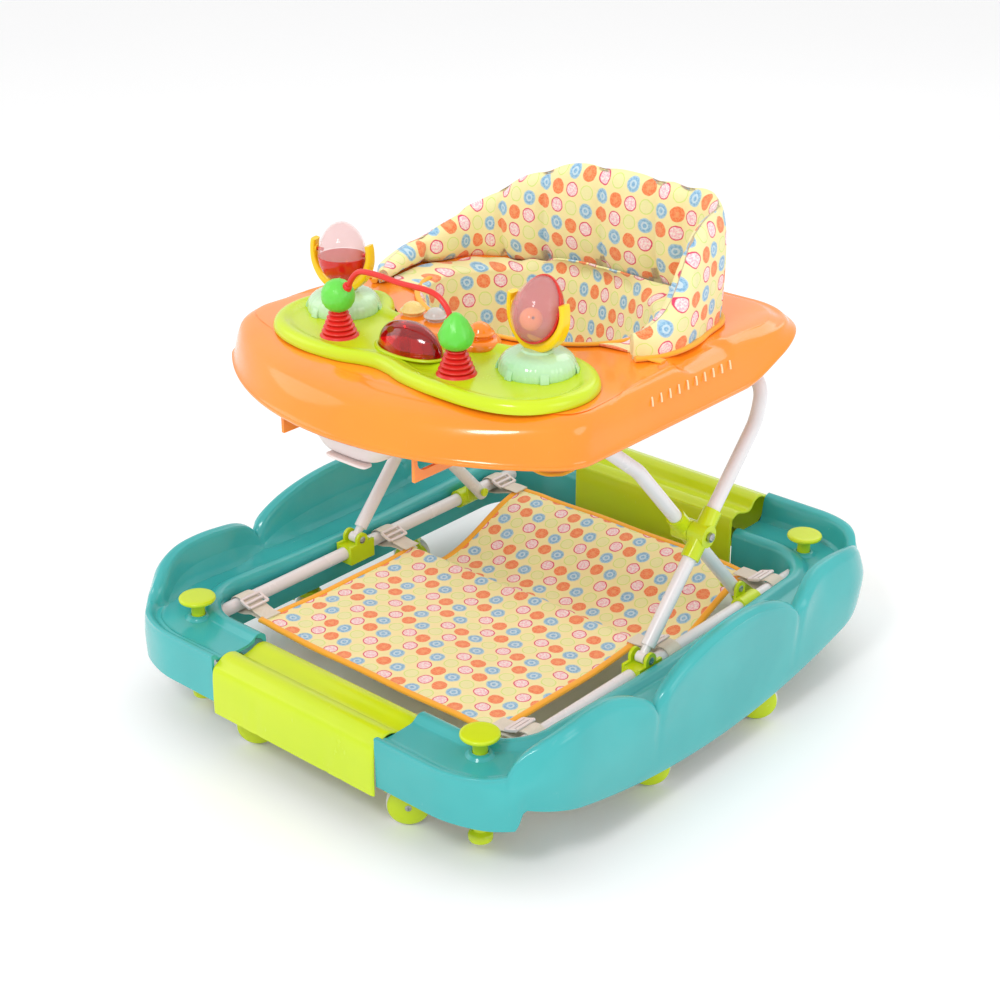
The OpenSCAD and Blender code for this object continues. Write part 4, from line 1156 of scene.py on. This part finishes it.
def bolster_rings():
    """Padded back: at each station a closed section that is full above the seam and thin below it.
    Tucks are places along the line where the padding is stitched in, deepest near the seam."""
    line = seat_line()
    t, _, _ = frames_along(np.concatenate([line, np.zeros((len(line), 1))], 1))
    out = np.stack([t[:, 1], -t[:, 0]], -1)
    out *= np.sign((out * (line - [0, 45])).sum(1))[:, None]
    along = np.concatenate([[0], np.cumsum(np.linalg.norm(np.diff(line, axis=0), axis=1))])
    top, seam = seat_top(line), seam_height(line)
    share = np.array([0.0, 0.1, 0.25, 0.45, 0.65, 0.82, 0.93, 1.0])
    inner = np.stack([-np.array([3, 8, 12.5, 14, 13.4, 11, 7, 0.0]), share], -1)
    outer = np.stack([np.array([9.5, 10.5, 11.5, 12, 11.5, 9.5, 6, 0.0]), share], -1)
    span = (top - seam)[:, None]
    low_span = (top - 451.0)[:, None]
    fade = ease(np.minimum(along, along[-1] - along), -2, 26)[:, None]
    inside = refine(inner, 6)
    outside = refine(outer, 6)[::-1]
    u = np.concatenate([np.broadcast_to(inside[:, 0], (len(line), len(inside))),
                        np.broadcast_to(outside[:, 0], (len(line), len(outside)))[:, 1:]], 1)
    z = np.concatenate([seam[:, None] + span * inside[:, 1], 451.0 + low_span * outside[1:, 1]], 1)
    slim = 0.45 + 0.55 * fade
    spots = np.array([78, 150, 214, 252, 330, 412, 478, 590])
    pull = np.exp(-((along[:, None] - spots[None]) / 4.2) ** 2).max(1)[:, None]
    soft = np.exp(-((along[:, None] - spots[None]) / 15.0) ** 2).max(1)[:, None]
    height = np.clip((z - seam[:, None]) / np.maximum(span, 1), 0, 1)
    deep = 1 - 0.62 * height
    u = u * slim + np.where(u < 0, (6.5 * pull + 3.0 * soft) * deep, -(1.6 * pull + 0.8 * soft) * deep)
    z = z - 3.0 * soft * ease(height, 0.75, 1)
    place = line[:, None] + out[:, None] * u[..., None]
    rings = np.concatenate([place, z[..., None]], -1)
    flat = np.stack([np.broadcast_to(along[:, None], z.shape), z + np.where(u < 0, 0, 600)], -1)
    return rings, flat


def with_cap_flat(flat):
    """Flat places for a lofted shape's points, its two end hubs last."""
    return np.concatenate([flat.reshape(-1, 2), flat[:1].mean(1), flat[-1:].mean(1)])


def bolster_reach(angle):
    """How far the lining's top edge is from the seat's middle (0, 45), by direction: to the bolster's inner
    face at the back and sides, and just past the opening at the front."""
    line = seat_line()[12:-12] - [0, 45]
    bearing = np.degrees(np.arctan2(line[:, 1], line[:, 0]))
    bearing = np.where(bearing < -90, bearing + 360, bearing)
    order = np.argsort(bearing)
    degrees = np.degrees(angle)
    degrees = np.where(degrees > 270, degrees - 360, degrees)
    reach = np.interp(degrees, bearing[order], np.linalg.norm(line, axis=1)[order] - 9)
    rim = 1.03 * 148 * 108 / np.hypot(108 * np.cos(angle), 148 * np.sin(angle))
    share = ease(degrees, bearing[order][0] - 14, bearing[order][0]) * (1 - ease(degrees, bearing[order][-1],
                                                                               bearing[order][-1] + 14))
    return rim + (reach - rim) * share, share


def sling_surface():
    """The fabric lining: from the bolster's seam over the deck and down into a bucket.
    Rows run from the top edge down, each an oval that shrinks and sinks."""
    a = 2 * np.pi * np.arange(224) / 224
    reach, held = bolster_reach(a)
    oval = 148 * 108 / np.hypot(108 * np.cos(a), 148 * np.sin(a))
    edge = np.stack([reach * np.cos(a), 45 + reach * np.sin(a)], -1)
    seam = np.where(held > 0.5, seam_height(edge), 453.5)
    seam = np.where(held > 0, 453.5 + (seam_height(edge) - 453.5) * held, 453.5)
    slope = 8 * ease(np.sin(a), 0.1, 0.8)
    top = [[reach, seam], [0.62 * reach + 0.38 * oval, 453.6 + (seam - 453.6) * 0.62 + slope * 0.4],
           [oval * 0.99, 452.5 + (seam - 452.5) * 0.25], [oval * 0.955, 444 + 0 * a]]
    low = [[oval * s, 276 + z + 0 * a] for s, z in
           [[0.93, 150], [0.9, 125], [0.87, 100], [0.83, 72], [0.78, 48], [0.7, 26], [0.55, 9], [0.35, 3],
            [0.15, 0.5], [0.02, 0]]]
    rows = refine(by_station(top + low, len(a)), 5).transpose(1, 0, 2)
    fold = np.sin(a * 17 + 1.4 * np.sin(a * 3)) * ease(446 - rows[..., 1], 0, 60) * ease(rows[..., 1],
                                                                                         276, 320)
    radius = rows[..., 0] * (1 + 0.012 * fold)
    soft = 1.6 * np.sin(a * 23 + 2 * np.sin(a * 5)) * held * bell(rows[..., 1], 458, 9)
    points = np.stack([radius * np.cos(a), 45 + radius * np.sin(a), rows[..., 1] + soft], -1)
    down = np.concatenate([[0], np.cumsum(np.linalg.norm(np.diff(points[:, 56], axis=0), axis=1))])
    flat = np.stack([a[None] * 140 + 0 * radius, 700 - down[:, None] + 0 * a], -1)
    return points, flat


def leg_distance(points):
    """Distance from each leg hole's axis, the nearer of the two sides, and infinite behind it."""
    best = np.full(points.shape[:-1], 1e3)
    for side in (1, -1):
        start, axis = np.array([62 * side, -10, 312.0]), np.array([0.469 * side, -0.883, 0])
        d = points - start
        ahead = d @ axis
        off = np.linalg.norm(d - ahead[..., None] * axis, axis=-1)
        best = np.where(ahead > 0, np.minimum(best, off), best)
    return best


def thick_sheet(points, flat, keep, wall):
    """A sheet of cloth of that thickness from a grid that closes on itself along each row."""
    rows, cols = points.shape[:2]
    normal = np.cross(np.roll(points, -1, 1) - np.roll(points, 1, 1), np.gradient(points, axis=0))
    normal /= np.maximum(np.linalg.norm(normal, axis=-1, keepdims=True), 1e-9)
    faces = grid_faces(rows, cols, False, True)
    centres = points.reshape(-1, 3)[faces].mean(1)
    faces = faces[keep(centres)]
    n = rows * cols
    edges = np.concatenate([faces[:, [i, (i + 1) % 4]] for i in range(4)])
    key = edges[:, 0].astype(np.int64) * n + edges[:, 1]
    rim = edges[~np.isin(key, edges[:, 1].astype(np.int64) * n + edges[:, 0])]
    both = np.concatenate([points.reshape(-1, 3), (points - normal * wall).reshape(-1, 3)])
    walls = np.stack([rim[:, 1], rim[:, 0], rim[:, 0] + n, rim[:, 1] + n], -1)
    all_faces = np.concatenate([faces, faces[:, ::-1] + n, walls])
    index, compact = np.unique(all_faces, return_inverse=True)
    return (both[index], compact.reshape(-1, 4).tolist()), np.concatenate([flat.reshape(-1, 2)] * 2)[index]


def leg_hole_rims(surface):
    """Bindings round the two leg holes, on the bucket's surface."""
    rims = []
    flat_points = surface.reshape(-1, 3)
    for side in (1, -1):
        start, axis = np.array([62 * side, -10, 312.0]), np.array([0.469 * side, -0.883, 0])
        q = np.linspace(0, 2 * np.pi, 73)[:-1]
        right = np.cross(axis, [0, 0, 1])
        ring = []
        for k in q:
            ray = start + 40 * (math.cos(k) * right + math.sin(k) * np.array([0, 0, 1]))
            d = flat_points - ray
            ahead = d @ axis
            off = np.linalg.norm(d - ahead[:, None] * axis, axis=1) + np.where(ahead > -20, 0, 1e3)
            near = np.argsort(off)[:4]
            ring.append(ray + axis * ahead[near].mean())
        rims.append(sweep(np.array(ring), 2.2, 4.6, axis, 0.8, 12, True))
    return rims


def fat_tape(path, wide, thick, up=(0, 0, 1), closed=False):
    return sweep(path, wide, thick, up, 0.7, 14, closed)


def build_seat():
    plain, flat = bolster_rings()
    back = make("seat_bolster", loft(plain), "tray", "printed_fabric", ["seat_back"], 80,
                with_cap_flat(flat))
    points, flat = sling_surface()
    part, places = thick_sheet(points, flat, lambda c: leg_distance(c) > 39, 2.0)
    lining = make("seat_lining", part, "tray", "printed_fabric", ["seat_sling"], 80, places)
    rims = make("leg_hole_bindings", joined(*leg_hole_rims(points)), "tray", "binding", (), 60)
    line = seat_line()
    t, _, _ = frames_along(np.concatenate([line, np.zeros((len(line), 1))], 1))
    out = np.stack([t[:, 1], -t[:, 0]], -1)
    out *= np.sign((out * (line - [0, 45])).sum(1))[:, None]
    foot = np.concatenate([line + out * 10.5, np.full((len(line), 1), 453.0)], 1)
    tapes = [fat_tape(foot, 3.6, 2.6)]
    for side in (1, -1):
        tab = refine([[side * 180, -14, 454], [side * 190, -12, 453.6], [side * 202, -9, 452.4],
                      [side * 213, -7, 452]], 4)
        tapes.append(sweep(tab, 6.0, 1.2, (0, 0, 1), 0.5, 14))
    make("bolster_binding", joined(*tapes), "tray", "binding", (), 60)
    q = np.radians(np.linspace(-172, -8, 80))
    front = np.stack([152 * np.cos(q), 45 + 112 * np.sin(q), 452.6 + 0 * q], -1)
    lip = make("lining_binding", fat_tape(front, 3.4, 1.8), "tray", "binding", (), 60)
    for soft in (lining, rims):
        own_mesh(soft)


# ---------- mat ----------

def mat_height(y):
    return 99 - 42 * ease(y, 14, 44) + 46 * ease(y, 72, 228) - 4 * bump(y, -112, 120, 120)


def build_mat():
    """The foot mat: a printed sheet that sags between its straps, with a fold across it behind
    the middle."""
    x, y = np.meshgrid(np.linspace(-178, 178, 90), np.linspace(-234, 228, 118))
    sag = 2.2 * np.sin(y / 31 + 0.4 * np.sin(x / 40)) * (1 - (x / 182) ** 2)
    ripple = 0.9 * np.sin(x / 9.0 + y / 50) * ease(np.abs(x), 120, 178) + 0.7 * np.sin((x + y) / 23)
    z = mat_height(y) + 1.2 + sag + ripple
    top = np.stack([x, y, z], -1)
    rows, cols = x.shape
    loop = np.concatenate([np.arange(cols), np.arange(1, rows) * cols + cols - 1,
                           (rows - 1) * cols + np.arange(cols - 2, -1, -1),
                           np.arange(rows - 2, 0, -1) * cols])
    n = rows * cols
    faces = grid_faces(rows, cols)
    walls = np.stack([np.roll(loop, -1), loop, loop + n, np.roll(loop, -1) + n], -1)
    both = np.concatenate([top.reshape(-1, 3), (top - [0, 0, 2.4]).reshape(-1, 3)])
    slope = np.sqrt(1 + np.gradient(z[:, 45], y[:, 0]) ** 2)
    run = np.concatenate([[0], np.cumsum(np.diff(y[:, 0]) * (slope[1:] + slope[:-1]) / 2)])
    flat = np.stack([x, run[:, None] + 0 * x], -1).reshape(-1, 2)
    part = (both, np.concatenate([faces, faces[:, ::-1] + n, walls]).tolist())
    mat = make("foot_mat_cloth", part, "base", "printed_fabric", ["foot_mat"], 80,
               np.concatenate([flat, flat]))
    edge = top.reshape(-1, 3)[loop] + [0, 0, -1.2]
    bind = make("mat_binding", fat_tape(edge, 4.2, 2.6, (0, 0, 1), True), "base", "binding", (), 60)
    straps, buckles = [], []
    for side in (1, -1):
        for y0 in (-220, 12, 220):
            z0 = float(mat_height(np.array(y0)))
            path = refine([[172, y0, z0 + 4.2], [184, y0, z0 + 4.4 if z0 > 80 else z0 + 8],
                           [203, y0, 107], [214, y0, 112.2],
                           [222, y0, 113.0], [229.5, y0, 109.5], [232, y0, 103], [229.5, y0, 96.5],
                           [222, y0, 93.2],
                           [210, y0, 95], [198, y0, 98.6], [184, y0, z0 + 0.2 if z0 > 80 else z0 + 4],
                           [174, y0, z0 - 2.4]], 5)
            path[:, 0] *= side
            straps.append(sweep(path, 0.9, 11.5, (0, 1, 0), 0.5, 14))
            slider = refine([[196, y0 - 14, 108], [204, y0 - 14.4, 110.6], [211, y0 - 14, 113.4]], 3)
            slider[:, 0] *= side
            for shift in (0, 28.4):
                buckles.append(sweep(slider + [0, shift, 0], 1.7, 1.9, (0, 0, 1), 0.7, 10))
            for (bx, bz) in ((196, 108.4), (203.5, 111.2), (211, 113.8)):
                bar = np.array([[side * bx, y0 - 14, bz], [side * bx, y0, bz], [side * bx, y0 + 14, bz]],
                               float)
                buckles.append(sweep(bar, 2.1, 1.3, (0, 0, 1), 0.7, 10))
    tapes = make("strap_webbing", joined(*straps), "base", "webbing", ["mat_straps"], 60)
    clips = make("strap_sliders", joined(*buckles), "base", "white_plastic", (), 40)


# ---------- stage ----------

def stage_material(colour):
    material, w, shader = new_finish("studio_floor")
    place = w.add("TexCoord").outputs["Object"]
    cloud = w.noise(place, 1.2, 2.0)
    w.feed(shader.inputs["Base Color"], w.mix(w.math("MULTIPLY", cloud, 0.25), linear(colour),
                                              linear((246, 246, 248))))
    set_sockets(w, shader, Roughness=0.6)
    return material


def build_stage():
    look = bpy.context.scene.walker_look
    corners = [[-20, -20, 0], [20, -20, 0], [20, 20, 0], [-20, 20, 0]]
    mesh = bpy.data.meshes.new("floor")
    mesh.from_pydata(corners, [], [[0, 1, 2, 3]])
    mesh.materials.append(stage_material((253, 253, 253)))
    floor = bpy.data.objects.new("floor", mesh)
    bpy.context.scene.collection.objects.link(floor)
    world = bpy.data.worlds.new("studio")
    bpy.context.scene.world = world
    world.use_nodes = True
    sky = world.node_tree.nodes["Background"]
    sky.inputs["Color"].default_value = (1.0, 1.0, 1.0, 1.0)
    sky.inputs["Strength"].default_value = look.sky
    aim = Vector((0.0, 0.0, 0.25))
    for name, place, size, power in (("key", (0.6, -2.2, 2.4), 0.7, 60), ("side", (2.6, 0.3, 1.5), 1.4, 22),
                                     ("fill", (-2.3, -1.2, 1.7), 1.8, 20),
                                     ("back", (-0.4, 2.2, 2.2), 1.6, 18)):
        lamp = bpy.data.lights.new(name, "AREA")
        lamp.size, lamp.energy = size, power * look.light
        lamp.shape = "DISK"
        obj = bpy.data.objects.new(name, lamp)
        obj.location = place
        obj.rotation_euler = (aim - Vector(place)).to_track_quat("-Z", "Y").to_euler()
        bpy.context.scene.collection.objects.link(obj)
    camera = bpy.data.cameras.new("camera")
    camera.lens, camera.sensor_width, camera.clip_end = look.lens, 36.0, 50.0
    obj = bpy.data.objects.new("camera", camera)
    obj.location = (1.2695, -1.4645, 1.1473)
    target = Vector((-0.00958, -0.00831, 0.22503))
    obj.rotation_euler = (target - obj.location).to_track_quat("-Z", "Y").to_euler()
    bpy.context.scene.collection.objects.link(obj)
    bpy.context.scene.camera = obj
    bpy.context.scene.view_settings.view_transform = "Standard"


# ---------- add-on ----------

class WalkerLook(bpy.types.PropertyGroup):
    """What can be changed about the walker's looks."""
    teal: FloatVectorProperty(name="Side shells", description="Screen colour of the side shells",
                              subtype="COLOR_GAMMA",
                              size=3, min=0, max=1, default=(0.26, 0.70, 0.70))
    lime: FloatVectorProperty(name="Covers", description="Screen colour of the lime parts",
                              subtype="COLOR_GAMMA",
                              size=3, min=0, max=1, default=(0.79, 0.87, 0.10))
    orange: FloatVectorProperty(name="Tray", description="Screen colour of the orange parts",
                                subtype="COLOR_GAMMA",
                                size=3, min=0, max=1, default=(1.0, 0.565, 0.12))
    light: FloatProperty(name="Lights", description="Strength of all the lights", default=0.42, min=0.0,
                         max=10.0)
    sky: FloatProperty(name="Sky", description="Strength of the plain surroundings", default=0.95,
                       min=0.0, max=5.0)
    lens: FloatProperty(name="Lens", description="The camera's focal length", default=67.12, min=20, max=300,
                        unit="CAMERA")


class WALKER_OT_base(bpy.types.Operator):
    """Builds the side shells, covers, stoppers and clamps"""
    bl_idname = "walker.base"
    bl_label = "Base"

    def execute(self, context):
        build_base()
        return {"FINISHED"}


class WALKER_OT_casters(bpy.types.Operator):
    """Builds the eight casters"""
    bl_idname = "walker.casters"
    bl_label = "Casters"

    def execute(self, context):
        build_casters()
        return {"FINISHED"}


class WALKER_OT_legs(bpy.types.Operator):
    """Dresses the leg tubes and builds their sleeves and screws"""
    bl_idname = "walker.legs"
    bl_label = "Legs"

    def execute(self, context):
        build_legs()
        return {"FINISHED"}


class WALKER_OT_tray(bpy.types.Operator):
    """Builds the tray, its toy panel and the parts under it"""
    bl_idname = "walker.tray"
    bl_label = "Tray"

    def execute(self, context):
        build_tray()
        return {"FINISHED"}


class WALKER_OT_toys(bpy.types.Operator):
    """Builds the toys on the tray"""
    bl_idname = "walker.toys"
    bl_label = "Toys"

    def execute(self, context):
        build_toys()
        return {"FINISHED"}


class WALKER_OT_seat(bpy.types.Operator):
    """Builds the padded back, the lining and their bindings"""
    bl_idname = "walker.seat"
    bl_label = "Seat"

    def execute(self, context):
        build_seat()
        return {"FINISHED"}


class WALKER_OT_mat(bpy.types.Operator):
    """Builds the foot mat and its straps"""
    bl_idname = "walker.mat"
    bl_label = "Foot mat"

    def execute(self, context):
        build_mat()
        return {"FINISHED"}


class WALKER_OT_stage(bpy.types.Operator):
    """Builds the floor, the lights and the camera"""
    bl_idname = "walker.stage"
    bl_label = "Stage"

    def execute(self, context):
        build_stage()
        return {"FINISHED"}


OPERATORS = (WALKER_OT_base, WALKER_OT_casters, WALKER_OT_legs, WALKER_OT_tray, WALKER_OT_toys,
             WALKER_OT_seat,
             WALKER_OT_mat, WALKER_OT_stage)


class VIEW3D_PT_walker(bpy.types.Panel):
    """The walker's panel in the sidebar"""
    bl_label = "Walker"
    bl_category = "Walker"
    bl_space_type = "VIEW_3D"
    bl_region_type = "UI"

    def draw(self, context):
        look = context.scene.walker_look
        for key in ("teal", "lime", "orange", "light", "sky", "lens"):
            self.layout.prop(look, key)
        for operator in OPERATORS:
            self.layout.operator(operator.bl_idname)


CLASSES = (WalkerLook, *OPERATORS, VIEW3D_PT_walker)


def register():
    for item in CLASSES:
        bpy.utils.register_class(item)
    bpy.types.Scene.walker_look = PointerProperty(type=WalkerLook)


def unregister():
    del bpy.types.Scene.walker_look
    for item in reversed(CLASSES):
        bpy.utils.unregister_class(item)


def main():
    """Builds the whole walker in order."""
    register()
    for step in (bpy.ops.walker.base, bpy.ops.walker.casters, bpy.ops.walker.legs, bpy.ops.walker.tray,
                 bpy.ops.walker.toys, bpy.ops.walker.seat, bpy.ops.walker.mat, bpy.ops.walker.stage):
        step()


if __name__ == "__main__":
    main()
